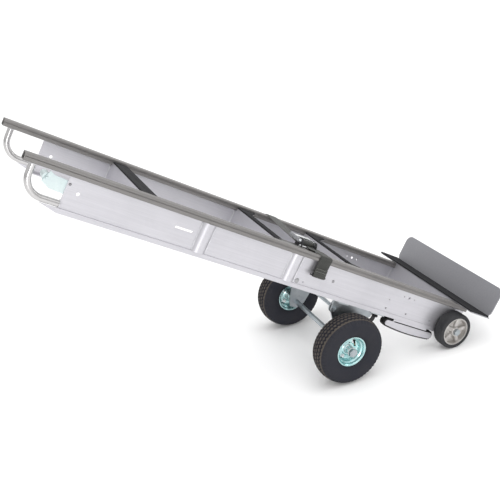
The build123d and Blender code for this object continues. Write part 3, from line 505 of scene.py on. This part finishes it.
def bolt_heads(count, pitch_r, flats, y0, y1, start=45.0):
    """Hexagon heads with a washer each, on a circle about the y axis."""
    shapes = []
    outward = 1 if y1 > y0 else -1
    seat, washer_r, head_r = y0 + outward * WASHER_THICK, flats * 0.78, flats * 0.56
    washer_outline = [(y0, HEAD_CORE_R), (seat, HEAD_CORE_R), (seat, washer_r), (y0, washer_r)]
    head_outline = [(seat, HEAD_CORE_R), (y1, HEAD_CORE_R), (y1, flats * 0.40), (y1 - outward * 1.0, head_r),
                    (seat, head_r)]
    washer = lathe(rounded(scaled(washer_outline), 0.3 * MM), WASHER_SEGMENTS)
    head = lathe(rounded(scaled(head_outline), 0.2 * MM), HEXAGON)
    for k in range(count):
        a = math.radians(start + 360 * k / count)
        centre = Vector((pitch_r * math.cos(a), 0, pitch_r * math.sin(a))) * MM
        shapes += [shifted(washer, centre), shifted(head, centre)]
    return join(*shapes)


def stepped_tube(base, lean, steps, sides=20):
    """A round tube along a line from base; steps are (distance, radius) pairs in millimetres."""
    return tube([base + lean * (d * MM) for d, r in steps], [r * MM for d, r in steps], sides)


tyre_shape, on_tread = tyre_ring()
RIM_FACE = [(30.5, 57.2), (30.5, 53.6), (26.6, 50.4), (21.0, 48.8), (17.6, 43.6), (9.5, 41.6), (4.4, 38.6),
            (3.3, 34.5), (3.3, 26), (6.4, 21.6), (6.4, 17.3)]
RIM_BACK = [(0.3, 17.3), (0.3, 40.4), (6.0, 44.0), (15.2, 46.2), (18.8, 51.0), (24.6, 52.0), (27.6, 52.6),
            (28.2, 57.2)]
HUB_OUTLINE = [(-43.8, 9.55), (-43.8, 15.5), (-42, 16.8), (-38, 16.8), (-36.5, 14.6), (-9, 14.6),
               (-6.6, 17.2), (6.6, 17.2), (8, 15.4), (26.5, 15.4), (27.5, 16.8), (31, 16.8), (31.8, 15.4),
               (31.8, 12.5), (30.4, 12.0), (30.4, 9.55)]
BOLTS, BOLT_CIRCLE_R, BOLT_FLATS = 4, 33, 10.5
VALVE_BASE, VALVE_LEAN = Vector((0, 13, 38.5)) * MM, math.radians(40)
VALVE_RUBBER = [(0, 4.6), (1, 4.8), (2.5, 4.4), (5, 3.4), (12, 3.1), (14.5, 2.7), (15, 2.4)]
VALVE_TIP = [(14.8, 2.5), (15.2, 2.2), (15.6, 2.5), (16.0, 2.2), (16.4, 2.5), (16.8, 2.2), (17.2, 2.4)]
VALVE_CAP = [(17.0, 2.9), (17.3, 3.2), (21.2, 3.0), (21.9, 2.2)]
rim_shape = join(turned_piece(RIM_FACE + RIM_BACK), turned_piece([(-y, r) for y, r in RIM_FACE + RIM_BACK]))
main_hub_shape = turned_piece(HUB_OUTLINE, 96, 0.6)
bolts_shape = join(bolt_heads(BOLTS, BOLT_CIRCLE_R, BOLT_FLATS, 3.2, 9.0),
                   bolt_heads(BOLTS, BOLT_CIRCLE_R, BOLT_FLATS, -3.2, -10.0))
valve_base = deck_turn @ VALVE_BASE
valve_lean = deck_turn @ Vector((0, math.cos(VALVE_LEAN), -math.sin(VALVE_LEAN)))
for name, side in SIDES.items():
    wheel = f"main_wheel_{name}"
    centre = Matrix.Translation(joints[f"{wheel}_spin"]["pos_m"])
    tyre = sided(tyre_shape, side)
    tyre = new_piece(f"tyre_{name}", *tyre, wheel, "pneumatic_rubber", TYRE, centre, sharp=50)
    tyre.data.materials.append(TREAD)
    tyre.data.polygons.foreach_set("material_index", np.array(on_tread, dtype=np.int32))
    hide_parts(f"main_tyre_{name}")
    rim = new_piece(f"rim_{name}", *sided(rim_shape, side), wheel, "zinc_rim", RIM_ZINC, centre)
    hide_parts(f"main_rim_{name}")
    hub = new_piece(f"hub_{name}", *sided(main_hub_shape, side), wheel, "zinc_rim", HUB_STEEL, centre)
    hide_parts(f"main_hub_{name}")
    bolts = sided(bolts_shape, side)
    bolts = new_piece(f"wheel_bolts_{name}", *bolts, wheel, "axle_steel", HUB_STEEL, centre, sharp=25)
    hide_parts(f"rim_bolts_{name}")

    # valve: a rubber-covered stem that leans out of the rim, with a brass tip and a black cap
    stem = sided(stepped_tube(valve_base, valve_lean, VALVE_RUBBER), side)
    stem = new_piece(f"valve_rubber_{name}", *stem, wheel, "solid_rubber", STEM, centre)
    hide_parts(f"valve_stem_{name}")
    tip = sided(stepped_tube(valve_base, valve_lean, VALVE_TIP), side)
    new_piece(f"valve_tip_{name}", *tip, wheel, "axle_steel", BRASS, centre)
    cap = sided(stepped_tube(valve_base, valve_lean, VALVE_CAP), side)
    new_piece(f"valve_cap_{name}", *cap, wheel, "solid_rubber", STEM, centre)

# ---- small nose wheels ---------------------------------------------------------------------------
NOSE_SPOKES, HUB_SEGMENTS, BOSS_RINGS, SPOKE_RINGS, EDGE_RINGS = 5, 200, 10, 28, 8
NOSE_TYRE = [(-23.4, 55.1), (-23.4, 65.2), (-21.5, 68.2), (-17.5, 69.8), (-1.0, 70.0), (-0.6, 69.6),
             (0.6, 69.6), (1.0, 70.0), (17.5, 69.8), (21.5, 68.2), (23.4, 65.2), (23.4, 55.1)]


def smooth(value, low, high):
    """A step from 0 at low to 1 at high, with soft ends."""
    t = np.clip((value - low) / (high - low), 0, 1)
    return t * t * (3 - 2 * t)


def cast_hub():
    """Cast wheel centre: boss, five broad spokes with pockets between, and an outer ring."""
    radii = np.concatenate([np.linspace(8.05, 19, BOSS_RINGS), np.linspace(19.8, 50.5, SPOKE_RINGS),
                            np.linspace(51, 55.1, EDGE_RINGS)])
    verts = []
    for i in range(HUB_SEGMENTS):
        a = 2 * math.pi * i / HUB_SEGMENTS
        sector = (i / HUB_SEGMENTS * NOSE_SPOKES) % 1.0
        off = np.abs(sector - 0.5) * 2 * math.pi / NOSE_SPOKES * radii
        spoke = 1 - smooth(off, 7.0, 10.0)
        boss = 1 - smooth(radii, 17.0, 20.5)
        ring = smooth(radii, 48.2, 50.6)
        fillet = 1 - smooth(radii, 20.0, 27.0)
        height = 4.5 + 10.5 * spoke + 3.0 * fillet * (1 - spoke)
        height = height * (1 - ring) + 22.0 * ring
        height = height * (1 - boss) + 23.4 * boss
        height -= 1.2 * (1 - smooth(radii, 8.2, 9.6)) + 1.0 * smooth(radii, 54.2, 55.1)
        front = [(r * math.cos(a), h, r * math.sin(a)) for r, h in zip(radii, height)]
        back = [(x, -h, z) for x, h, z in reversed(front)]
        verts += [(MM * x, MM * y, MM * z) for x, y, z in front + back]
    return verts, grid_faces(HUB_SEGMENTS, 2 * len(radii), wrap_rows=True, wrap_columns=True)


hub_shape = cast_hub()
for name, side in SIDES.items():
    wheel = f"nose_wheel_{name}"
    centre = Matrix.Translation(joints[f"{wheel}_spin"]["pos_m"])
    tyre = turned_piece(NOSE_TYRE, 160, 1.2)
    tyre = new_piece(f"nose_rubber_{name}", *tyre, wheel, "solid_rubber", SOLID_TYRE, centre)
    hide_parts(f"nose_tyre_{name}")
    hub = new_piece(f"nose_casting_{name}", *hub_shape, wheel, "cast_hub", CAST, centre, sharp=50)
    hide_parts(f"nose_hub_{name}")

# ---- rubber mat and crossbar pads ----------------------------------------------------------------
RIB_PITCH, RIB_HEIGHT, ROW_PITCH, COLUMNS_PER_RIB, EDGE_WIDE, EDGE_DROP = 6.0, 0.9, 2.0, 4, 1.5, 1.0


def ribbed_sheet(y_ends, x_edges, z0, z1, across, corner):
    """A rubber sheet with fine ribs along y on its top; x_edges(y) gives its two x edges."""
    ys = np.linspace(*y_ends, int((y_ends[1] - y_ends[0]) / ROW_PITCH))
    top, bottom = [], []
    for y in ys:
        x0, x1 = x_edges(y)
        from_end = min(y - y_ends[0], y_ends[1] - y)
        inset = corner - math.sqrt(max(0.0, corner ** 2 - max(0.0, corner - from_end) ** 2))
        xs = np.linspace(x0 + inset, x1 - inset, across * COLUMNS_PER_RIB)
        near_edge = np.minimum(np.minimum(xs - xs[0], xs[-1] - xs), from_end)
        soften = 1 - np.clip(near_edge / EDGE_WIDE, 0, 1)
        ribs = RIB_HEIGHT * (0.5 + 0.5 * np.cos(2 * math.pi * xs / RIB_PITCH)) ** 2
        z = z1 - RIB_HEIGHT + ribs - soften * EDGE_DROP
        top.append([(x * MM, y * MM, h * MM) for x, h in zip(xs, z)])
        bottom.append([(x * MM, y * MM, z0 * MM) for x in xs])
    n = len(top[0])
    verts, rows = [], len(ys)
    for upper, lower in zip(top, bottom):
        verts += upper + lower[::-1]
    faces = grid_faces(rows, 2 * n, wrap_columns=True)
    for row in (0, rows - 1):
        base = row * 2 * n
        faces += [(base + j, base + j + 1, base + 2 * n - 2 - j, base + 2 * n - 1 - j) for j in range(n - 1)]
    return verts, faces


MAT_HALF, MAT_LENGTH, MAT_LOW, MAT_HIGH = 297.0, 102.0, 4.0, 10.0
mat = ribbed_sheet((-MAT_HALF, MAT_HALF), lambda y: (0.3, MAT_LENGTH), MAT_LOW, MAT_HIGH, 16, corner=4.0)
mat = new_piece("foot_mat", *mat, "frame", "solid_rubber", PAD)
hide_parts("toe_mat")

PAD_LOW, PAD_HIGH, PAD_HALF, FLARE_START = -13.0, -7.0, 183.5, 123.5
CROSSBARS = {"rear": (1404.0, 50.0, 52.0), "middle": (903.0, 30.0, 76.0), "front": (585.0, 26.0, 98.0)}
for name, (x, width, end_width) in CROSSBARS.items():
    def pad_edges(y):
        share = max(0.0, (abs(y) - FLARE_START) / (PAD_HALF - FLARE_START))
        return x - width - (end_width - width) * share, x

    pad = ribbed_sheet((-PAD_HALF, PAD_HALF), pad_edges, PAD_LOW, PAD_HIGH, 6, corner=1.5)
    pad = new_piece(f"crossbar_pad_{name}", *pad, "frame", "solid_rubber", PAD)
    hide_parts(f"pad_{name}")


# ---- stair glide belts ---------------------------------------------------------------------------
BELT_THICK, CLEAT_PITCH, CLEAT_HEIGHT, BELT_HALF, GLIDE_Y = 8.0, 9.0, 1.4, 12.0, 190.0
GLIDE_FRONT, GLIDE_REAR, GLIDE_LOW = (139.0, -156.0), (358.0, -154.0), (245.0, -178.0)
GLIDE_FRONT_R, GLIDE_REAR_R, BELT_SAMPLES = 18.0, 16.0, 120


def arc_through(p0, p1, p2, step=1.5):
    """Points about a step apart on the arc from p0 through p1 to p2."""
    a, b, c = (complex(*p) for p in (p0, p1, p2))
    w = (c - a) / (b - a)
    centre = a + (b - a) * (w - abs(w) ** 2) / (2j * w.imag)
    r = abs(a - centre)
    start, middle, end = (math.atan2((p - centre).imag, (p - centre).real) for p in (a, b, c))
    sweep = (end - start) % (2 * math.pi)
    if (middle - start) % (2 * math.pi) > sweep:
        sweep -= 2 * math.pi
    count = max(4, int(abs(sweep) * r / step))
    return [(centre.real + r * math.cos(start + sweep * k / count),
             centre.imag + r * math.sin(start + sweep * k / count)) for k in range(count)]


def belt_loop():
    """Side outline of the belt's outer face, in deck x and z."""
    (fx, fz), fr = GLIDE_FRONT, GLIDE_FRONT_R
    (rx, rz), rr = GLIDE_REAR, GLIDE_REAR_R
    top = [(fx + (rx - fx) * k / BELT_SAMPLES, fz + fr + (rz + rr - fz - fr) * k / BELT_SAMPLES)
           for k in range(BELT_SAMPLES)]
    back = arc_through((rx, rz + rr), (rx + rr, rz), (rx, rz - rr))
    low = arc_through((rx, rz - rr), GLIDE_LOW, (fx, fz - fr))
    front = arc_through((fx, fz - fr), (fx - fr, fz), (fx, fz + fr))
    return np.array(top + back + low + front)


def belt_shape(y_centre):
    """The belt: the loop with its thickness and low cleats on its outer face."""
    loop = belt_loop()
    n = len(loop)
    along = np.roll(loop, -1, 0) - np.roll(loop, 1, 0)
    outward = np.column_stack([-along[:, 1], along[:, 0]])
    outward /= np.linalg.norm(outward, axis=1)[:, None]
    reach = np.concatenate([[0], np.cumsum(np.linalg.norm(np.diff(loop, axis=0), axis=1))])
    lap = reach[-1] + np.linalg.norm(loop[0] - loop[-1])
    pitch = lap / round(lap / CLEAT_PITCH)
    cleat = CLEAT_HEIGHT * (smooth(np.cos(2 * math.pi * reach / pitch), -0.3, 0.3) - 1)
    verts = []
    section = [(-BELT_HALF, 0.8), (-BELT_HALF + 1, 0.0), (BELT_HALF - 1, 0.0), (BELT_HALF, 0.8),
               (BELT_HALF, BELT_THICK), (-BELT_HALF, BELT_THICK)]
    for k in range(n):
        for y, depth in section:
            outer = cleat[k] if depth < 1 else 0.0
            p = loop[k] + outward[k] * (outer - depth)
            verts.append((p[0] * MM, (y_centre + y) * MM, p[1] * MM))
    return verts, grid_faces(n, len(section), wrap_rows=True, wrap_columns=True)


for name, side in SIDES.items():
    belt = new_piece(f"stair_belt_{name}", *belt_shape(side * GLIDE_Y), "frame", "belt_rubber", BELT)
    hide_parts(f"glide_belt_{name}")

# ---- strap ----------------------------------------------------------------------------------------
STRAP_WIDE, STRAP_THICK, STRAP_LIFT, STRAP_COLUMNS = 50.0, 2.0, 1.3, 14
STRAP_X, RATCHET_X, STRAP_SAMPLES, STRAP_SKEW = 742.0, 800.0, 240, math.radians(52)
RATCHET_Y = deck_place("ratchet_spool_spin").y / MM
RATCHET_Z = deck_place("ratchet_spool_spin").z / MM


def ribbon(path, wide, thick, across, count):
    """A strap along deck points in millimetres; across(point) gives its width direction."""
    line = through(path, count)
    along = np.gradient(line, axis=0)
    along /= np.linalg.norm(along, axis=1)[:, None]
    spread = np.linspace(-wide / 2, wide / 2, STRAP_COLUMNS)
    crown = 1 - 0.75 * (np.abs(spread) / (wide / 2)) ** 6
    verts = []
    for point, forward in zip(line, along):
        sideways = np.array(across(point), float)
        sideways -= forward * sideways.dot(forward)
        sideways /= np.linalg.norm(sideways)
        normal = np.cross(forward, sideways)
        upper = [point + sideways * s + normal * (thick / 2 * c) for s, c in zip(spread, crown)]
        lower = [point + sideways * s - normal * (thick / 2 * c) for s, c in zip(spread, crown)]
        verts += [tuple(v * MM) for v in upper + lower[::-1]]
    ring = 2 * STRAP_COLUMNS
    faces = grid_faces(count, ring, wrap_columns=True)
    for base in (0, (count - 1) * ring):
        faces += [(base + j, base + j + 1, base + ring - 2 - j, base + ring - 1 - j)
                  for j in range(STRAP_COLUMNS - 1)]
    length = float(np.linalg.norm(np.diff(line, axis=0), axis=1).sum())
    return (verts, faces), length


def lengthwise(point):
    """The strap's width lies along the rails."""
    return (1.0, 0.0, 0.0)


def turning(point):
    """The short strap leaves the ratchet on the skew and lies square by the time it crosses the rail."""
    skew = STRAP_SKEW * (1 - smooth(point[1], 172.0, 206.0))
    return (math.cos(skew), math.sin(skew), 0.0)


left_path = [(STRAP_X, -217.2, -26), (STRAP_X, -217.3, -14), (STRAP_X, -217.0, -4), (STRAP_X, -213.6, 0.6),
             (STRAP_X, -206, STRAP_LIFT), (STRAP_X + 1, -192, STRAP_LIFT), (STRAP_X + 9, -160, 1.4),
             (STRAP_X + 25, -80, 1.5), (STRAP_X + 40, 0, 1.5), (RATCHET_X - 7, 80, 1.7),
             (RATCHET_X, 122, 1.8), (RATCHET_X, RATCHET_Y - 3, 1.9)]
right_path = [(RATCHET_X + 4, 172, 5.4), (RATCHET_X - 8, 176, 5.2), (RATCHET_X - 26, 182, 4.6),
              (RATCHET_X - 44, 190, 3.0), (STRAP_X + 4, 199, 1.8), (STRAP_X + 1, 208, STRAP_LIFT),
              (STRAP_X, 214.6, -0.4), (STRAP_X, 217.1, -5), (STRAP_X, 217.4, -16), (STRAP_X, 216.2, -40),
              (STRAP_X, 213.6, -62), (STRAP_X, 212.9, -69.5), (STRAP_X, 214.6, -73.4),
              (STRAP_X, 217.75, -74.6), (STRAP_X, 220.9, -73.4), (STRAP_X, 222.3, -69.5),
              (STRAP_X, 221.0, -62), (STRAP_X, 219.0, -50), (STRAP_X, 218.6, -42)]
for name, path, across in (("left", left_path, lengthwise), ("right", right_path, turning)):
    shape, length = ribbon(path, STRAP_WIDE, STRAP_THICK, across, STRAP_SAMPLES)
    strap = new_piece(f"strap_{name}", *shape, "frame", "webbing", WEBBING, sharp=60)
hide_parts("strap_webbing")

ROLL_INNER, ROLL_OUTER, ROLL_TURNS, ROLL_POINTS = 6.2, 8.7, 1.4, 60
ROLL_WIDE, ROLL_THICK, ROLL_SAMPLES = 46.0, 1.6, 120
roll_path = []
for k in range(ROLL_POINTS + 1):
    share = k / ROLL_POINTS
    a = 2 * math.pi * ROLL_TURNS * share - 0.5 * math.pi
    r = ROLL_INNER + (ROLL_OUTER - ROLL_INNER) * share
    roll_path.append((RATCHET_X, RATCHET_Y + r * math.cos(a), RATCHET_Z + r * math.sin(a)))
shape, length = ribbon(roll_path, ROLL_WIDE, ROLL_THICK, lengthwise, ROLL_SAMPLES)
roll = new_piece("strap_roll", *shape, "spool", "webbing", WEBBING, sharp=60)


def stitches(points, radius=0.45):
    """Short raised stitches, each from one deck point to the next."""
    shapes = []
    for start, end in points:
        middle = (Vector(start) + Vector(end)) / 2
        path = [Vector(start) * MM, middle * MM, Vector(end) * MM]
        shapes.append(tube(path, [radius * 0.5 * MM, radius * MM, radius * 0.5 * MM], 6))
    return join(*shapes)


# two rows across the hem; the lower row stands further out, because the hanging end leans outward
SEAM_Z, STITCHES, STITCH, STITCH_PITCH, SEAM_START = (-44.0, -54.0), 12, 2.6, 3.6, STRAP_X - 21
SEAM_Y, SEAM_LEAN = 219.75, 0.075
seam = []
for z in SEAM_Z:
    for k in range(STITCHES):
        x = SEAM_START + STITCH_PITCH * k
        y = SEAM_Y + SEAM_LEAN * (SEAM_Z[0] - z)
        seam.append(((x, y, z), (x + STITCH, y, z)))
new_piece("strap_stitching", *stitches(seam), "frame", "webbing", THREAD)

# ---- rivets and bolts on the side plates ----------------------------------------------------------
RIVET_SEGMENTS = 32


def loose_parts(node):
    """The low and high deck corner, in millimetres, of every separate part of a CAD node."""
    work = bmesh.new()
    work.from_mesh(nodes[node].data)
    bmesh.ops.remove_doubles(work, verts=work.verts, dist=1e-6)
    to_deck = DECK.inverted()
    left, found = set(work.verts), []
    while left:
        group, stack = [], [left.pop()]
        while stack:
            vert = stack.pop()
            group.append(to_deck @ vert.co / MM)
            for edge in vert.link_edges:
                other = edge.other_vert(vert)
                if other in left:
                    left.remove(other)
                    stack.append(other)
        group = np.array(group)
        found.append((group.min(0), group.max(0)))
    work.free()
    return sorted(found, key=lambda pair: tuple(pair[0].round(1)))


def domed_head(radius, height):
    """A rivet or bolt head in y: washer edge, dome and a dimple left by the tool."""
    crown = [(height * math.cos(a), radius * 0.92 * math.sin(a)) for a in np.linspace(0.18, math.pi / 2, 9)]
    outline = [(height * 0.86, 0.02), (height * 0.9, radius * 0.10)] + crown
    outline += [(height * 0.16, radius), (0.0, radius), (0.0, 0.02)]
    return lathe(scaled(outline), RIVET_SEGMENTS)


heads = []
for low, high in loose_parts("plate_rivets"):
    middle = (low + high) / 2
    side = 1 if middle[1] > 0 else -1
    radius, height = (high[0] - low[0]) / 2, high[1] - low[1]
    face = low[1] if side > 0 else high[1]
    head = sided(domed_head(radius, height), side)
    heads.append(shifted(head, (middle[0] * MM, face * MM, middle[2] * MM)))
rivets = new_piece("rivet_heads", *join(*heads), "frame", "axle_steel", RIVET_STEEL)
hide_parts("plate_rivets")

# ---- weld beads -----------------------------------------------------------------------------------
RIPPLE_PITCH, RIPPLE, JITTER, BEAD_SIDES, RIPPLE_STEPS = 2.2, 0.16, 0.05, 10, 4
dice = np.random.default_rng(7)


def weld(start, end, radius):
    """A rippled bead between two deck points, in millimetres."""
    start, end = np.array(start, float), np.array(end, float)
    length = np.linalg.norm(end - start)
    count = max(8, int(length / RIPPLE_PITCH * RIPPLE_STEPS))
    share = np.linspace(0, 1, count)
    ripple = 1 + RIPPLE * np.abs(np.sin(math.pi * share * length / RIPPLE_PITCH))
    ripple += dice.uniform(-JITTER, JITTER, count)
    ripple *= np.clip(np.minimum(share, 1 - share) * length / radius, 0.35, 1)
    line = start + (end - start) * share[:, None]
    return tube([tuple(p * MM) for p in line], list(radius * MM * ripple), BEAD_SIDES)


def ring_weld(centre, axis, ring, radius):
    """A rippled bead round a tube or a sleeve."""
    axis = Vector(axis).normalized()
    u = axis.orthogonal().normalized()
    v = axis.cross(u)
    count = int(2 * math.pi * ring / RIPPLE_PITCH) * RIPPLE_STEPS
    path, radii = [], []
    for k in range(count):
        a = 2 * math.pi * k / count
        path.append((Vector(centre) + (u * math.cos(a) + v * math.sin(a)) * ring) * MM)
        ripple = RIPPLE * abs(math.sin(math.pi * k / RIPPLE_STEPS))
        radii.append(radius * MM * (1 + ripple + dice.uniform(-JITTER, JITTER)))
    return tube(path, radii, BEAD_SIDES, closed=True)


def upright_weld(x, y, low, radius):
    """A bead square to the deck, from just under the rails down to low."""
    return weld((x, y, WEB_TOP), (x, y, low), radius)


PLATE_IN, PLATE_OUT, WEB_TOP, WEB_LOW, RIB_LOW, NOSE_LOW = 198.1, 201.7, -24.0, -103.0, -118.0, -109.0
RIB_X, RIB_HALF, NOSE_WEB = (1186.0, 841.0), 24.4, 92.0
FOOT_START, FOOT_Y, FOOT_Z = 32.0, 184.6, -0.4
GRIP_RING, GRIP_BEAD, GRIP_Y, GRIP_TOP, PLATE_END = 10.4, 2.0, 200.0, -22.6, 1635.4
bar_welds, rib_welds, nose_welds, grip_welds = [], [], [], []
for side in SIDES.values():
    inside = side * PLATE_IN
    for x, _, _ in CROSSBARS.values():
        bar_welds.append(upright_weld(x + 0.6, inside, WEB_LOW, 2.2))
        bar_welds.append(upright_weld(x - 3.6, inside, WEB_LOW + 4, 2.0))
    for x in RIB_X:
        for edge in (-1, 1):
            rib_welds.append(upright_weld(x + edge * RIB_HALF, side * PLATE_OUT, RIB_LOW, 1.5))
    nose_welds.append(upright_weld(NOSE_WEB + 0.5, inside, NOSE_LOW, 2.2))
    nose_welds.append(weld((FOOT_START, side * FOOT_Y, FOOT_Z), (NOSE_WEB - 2, side * FOOT_Y, FOOT_Z), 1.3))
    grip_welds.append(ring_weld((HANDLE_X, side * GRIP_Y, GRIP_TOP), (0, 0, 1), GRIP_RING, GRIP_BEAD))
    grip_welds.append(ring_weld((PLATE_END, side * GRIP_Y, HANDLE_Z), (1, 0, 0), GRIP_RING, GRIP_BEAD))
new_piece("crossbar_welds", *join(*bar_welds), "frame", "plate_alloy", WELD)
new_piece("rib_welds", *join(*rib_welds), "frame", "plate_alloy", WELD)
new_piece("nose_welds", *join(*nose_welds), "frame", "plate_alloy", WELD)
new_piece("handle_welds", *join(*grip_welds), "frame", "handle_alloy", WELD)

# the beads on zinc parts start further along the same seeded series
FRAME_DRAWS, SLEEVE_Y, SLEEVE_RING, ZINC_BEAD = 288, 164.6, 14.4, 1.9
LUG_START, LUG_END, LUG_FACES, LUG_TOP = 560.0, 600.0, (168.6, 174.4), -134.8
dice.bit_generator.advance(FRAME_DRAWS)
sleeve_welds = [ring_weld((AXLE_X, side * SLEEVE_Y, AXLE_Z), (0, 1, 0), SLEEVE_RING, ZINC_BEAD)
                for side in SIDES.values()]
new_piece("axle_sleeve_welds", *join(*sleeve_welds), "carriage", "zinc_plate", ZINC_WELD)
lug_welds = [weld((LUG_START, side * y, LUG_TOP), (LUG_END, side * y, LUG_TOP), ZINC_BEAD)
             for side in SIDES.values() for y in LUG_FACES]
new_piece("lug_welds", *join(*lug_welds), "frame", "zinc_plate", ZINC_WELD)

# ---- winder spring and ratchet anchor bolt --------------------------------------------------------
WINDER_X, WINDER_Z = 1690.0, -50.0
SPRING_TURNS, SPRING_STEPS, SPRING_WIRE, SPRING_R, SPRING_START, SPRING_PITCH = 7, 24, 1.1, 7.4, 148.3, 0.968
spring_path = []
for k in range(SPRING_TURNS * SPRING_STEPS + 1):
    turns = k / SPRING_STEPS
    a = 2 * math.pi * turns
    spring_path.append(Vector((WINDER_X + SPRING_R * math.cos(a), SPRING_START - SPRING_PITCH * turns,
                               WINDER_Z + SPRING_R * math.sin(a))) * MM)
new_piece("winder_spring", *tube(spring_path, SPRING_WIRE * MM, 10), "winder", "ratchet_zinc", SPRING_STEEL)

ANCHOR_Y, ANCHOR_Z, ANCHOR_REACH, ANCHOR_R, NUT_START = 171.0, 0.8, 32.0, 3.0, 29.6
ANCHOR_NUT = [(0, 0.3), (4.2, 0.3), (4.2, 4.6), (3.4, 5.4), (0, 5.4)]
shank_path = [Vector((x, ANCHOR_Y, ANCHOR_Z)) * MM
              for x in np.linspace(RATCHET_X - ANCHOR_REACH, RATCHET_X + ANCHOR_REACH, 5)]
nut_verts, nut_faces = lathe(rounded(scaled(ANCHOR_NUT), 0.2 * MM), HEXAGON)
onto_x = Matrix.Rotation(math.radians(-90), 4, "Z")
nut = shifted(([onto_x @ Vector(v) for v in nut_verts], nut_faces),
              Vector((RATCHET_X + NUT_START, ANCHOR_Y, ANCHOR_Z)) * MM)
anchor = join(tube(shank_path, ANCHOR_R * MM, 24), nut)
new_piece("ratchet_anchor_bolt", *anchor, "frame", "axle_steel", HUB_STEEL, sharp=25)

# ---- camera, light and floor ----------------------------------------------------------------------
camera = bpy.data.objects.new("camera", bpy.data.cameras.new("camera"))
bpy.context.scene.collection.objects.link(camera)
camera.location = (0.98783, 2.15124, 1.56198)
camera.rotation_euler = [math.radians(a) for a in (65.058, 2.996, 155.355)]
camera.data.lens, camera.data.sensor_width = 53.30, 36.0
camera.data.shift_x, camera.data.shift_y = -0.0109, 0.0004
bpy.context.scene.camera = camera
bpy.context.scene.view_settings.view_transform = "Standard"

# white surroundings, brighter overhead than at the horizon
world = bpy.data.worlds.new("studio")
bpy.context.scene.world = world
world.use_nodes = True
sky = world.node_tree
sky.nodes["Background"].inputs["Color"].default_value = (1.0, 1.0, 1.0, 1.0)
direction = sky.nodes.new("ShaderNodeTexCoord")
height = sky.nodes.new("ShaderNodeSeparateXYZ")
glow = sky.nodes.new("ShaderNodeMapRange")
glow.interpolation_type = "SMOOTHSTEP"
for socket, value in (("From Min", -0.05), ("From Max", 0.75), ("To Min", 0.55), ("To Max", 1.35)):
    glow.inputs[socket].default_value = value
sky.links.new(direction.outputs["Generated"], height.inputs[0])
sky.links.new(height.outputs["Z"], glow.inputs["Value"])
sky.links.new(glow.outputs[0], sky.nodes["Background"].inputs["Strength"])


def softbox(name, place, target, size, power):
    """A rectangular lamp at place that faces target."""
    lamp = bpy.data.lights.new(name, "AREA")
    lamp.shape, lamp.size, lamp.size_y, lamp.energy = "RECTANGLE", size[0], size[1], power
    holder = bpy.data.objects.new(name, lamp)
    bpy.context.scene.collection.objects.link(holder)
    holder.location = place
    holder.rotation_euler = (Vector(target) - Vector(place)).to_track_quat("-Z", "Y").to_euler()


softbox("overhead", place=(0.1, 0.2, 3.4), target=(0, 0, 0.4), size=(3.0, 2.0), power=22)
softbox("near_strip", place=(1.7, 3.6, 0.7), target=(0.1, 0, 0.5), size=(0.5, 1.3), power=20)
softbox("nose_side", place=(-3.2, 0.6, 1.8), target=(-0.4, 0, 0.4), size=(1.4, 1.4), power=12)

floor_finish = Finish("floor", (0.93, 0.93, 0.93), 0.0, 0.7, Specular_IOR_Level=0.1)
FLOOR_HALF, FLOOR_Z = 40.0, -0.0005
floor_mesh = bpy.data.meshes.new("floor")
floor_mesh.from_pydata([(x, y, FLOOR_Z) for x, y in ((-1, -1), (1, -1), (1, 1), (-1, 1))], [], [(0, 1, 2, 3)])
floor_mesh.transform(Matrix.Diagonal((FLOOR_HALF, FLOOR_HALF, 1, 1)))
floor = bpy.data.objects.new("floor", floor_mesh)
bpy.context.scene.collection.objects.link(floor)
floor.data.materials.append(floor_finish.material)
floor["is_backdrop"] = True

bpy.context.view_layer.update()
low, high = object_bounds()
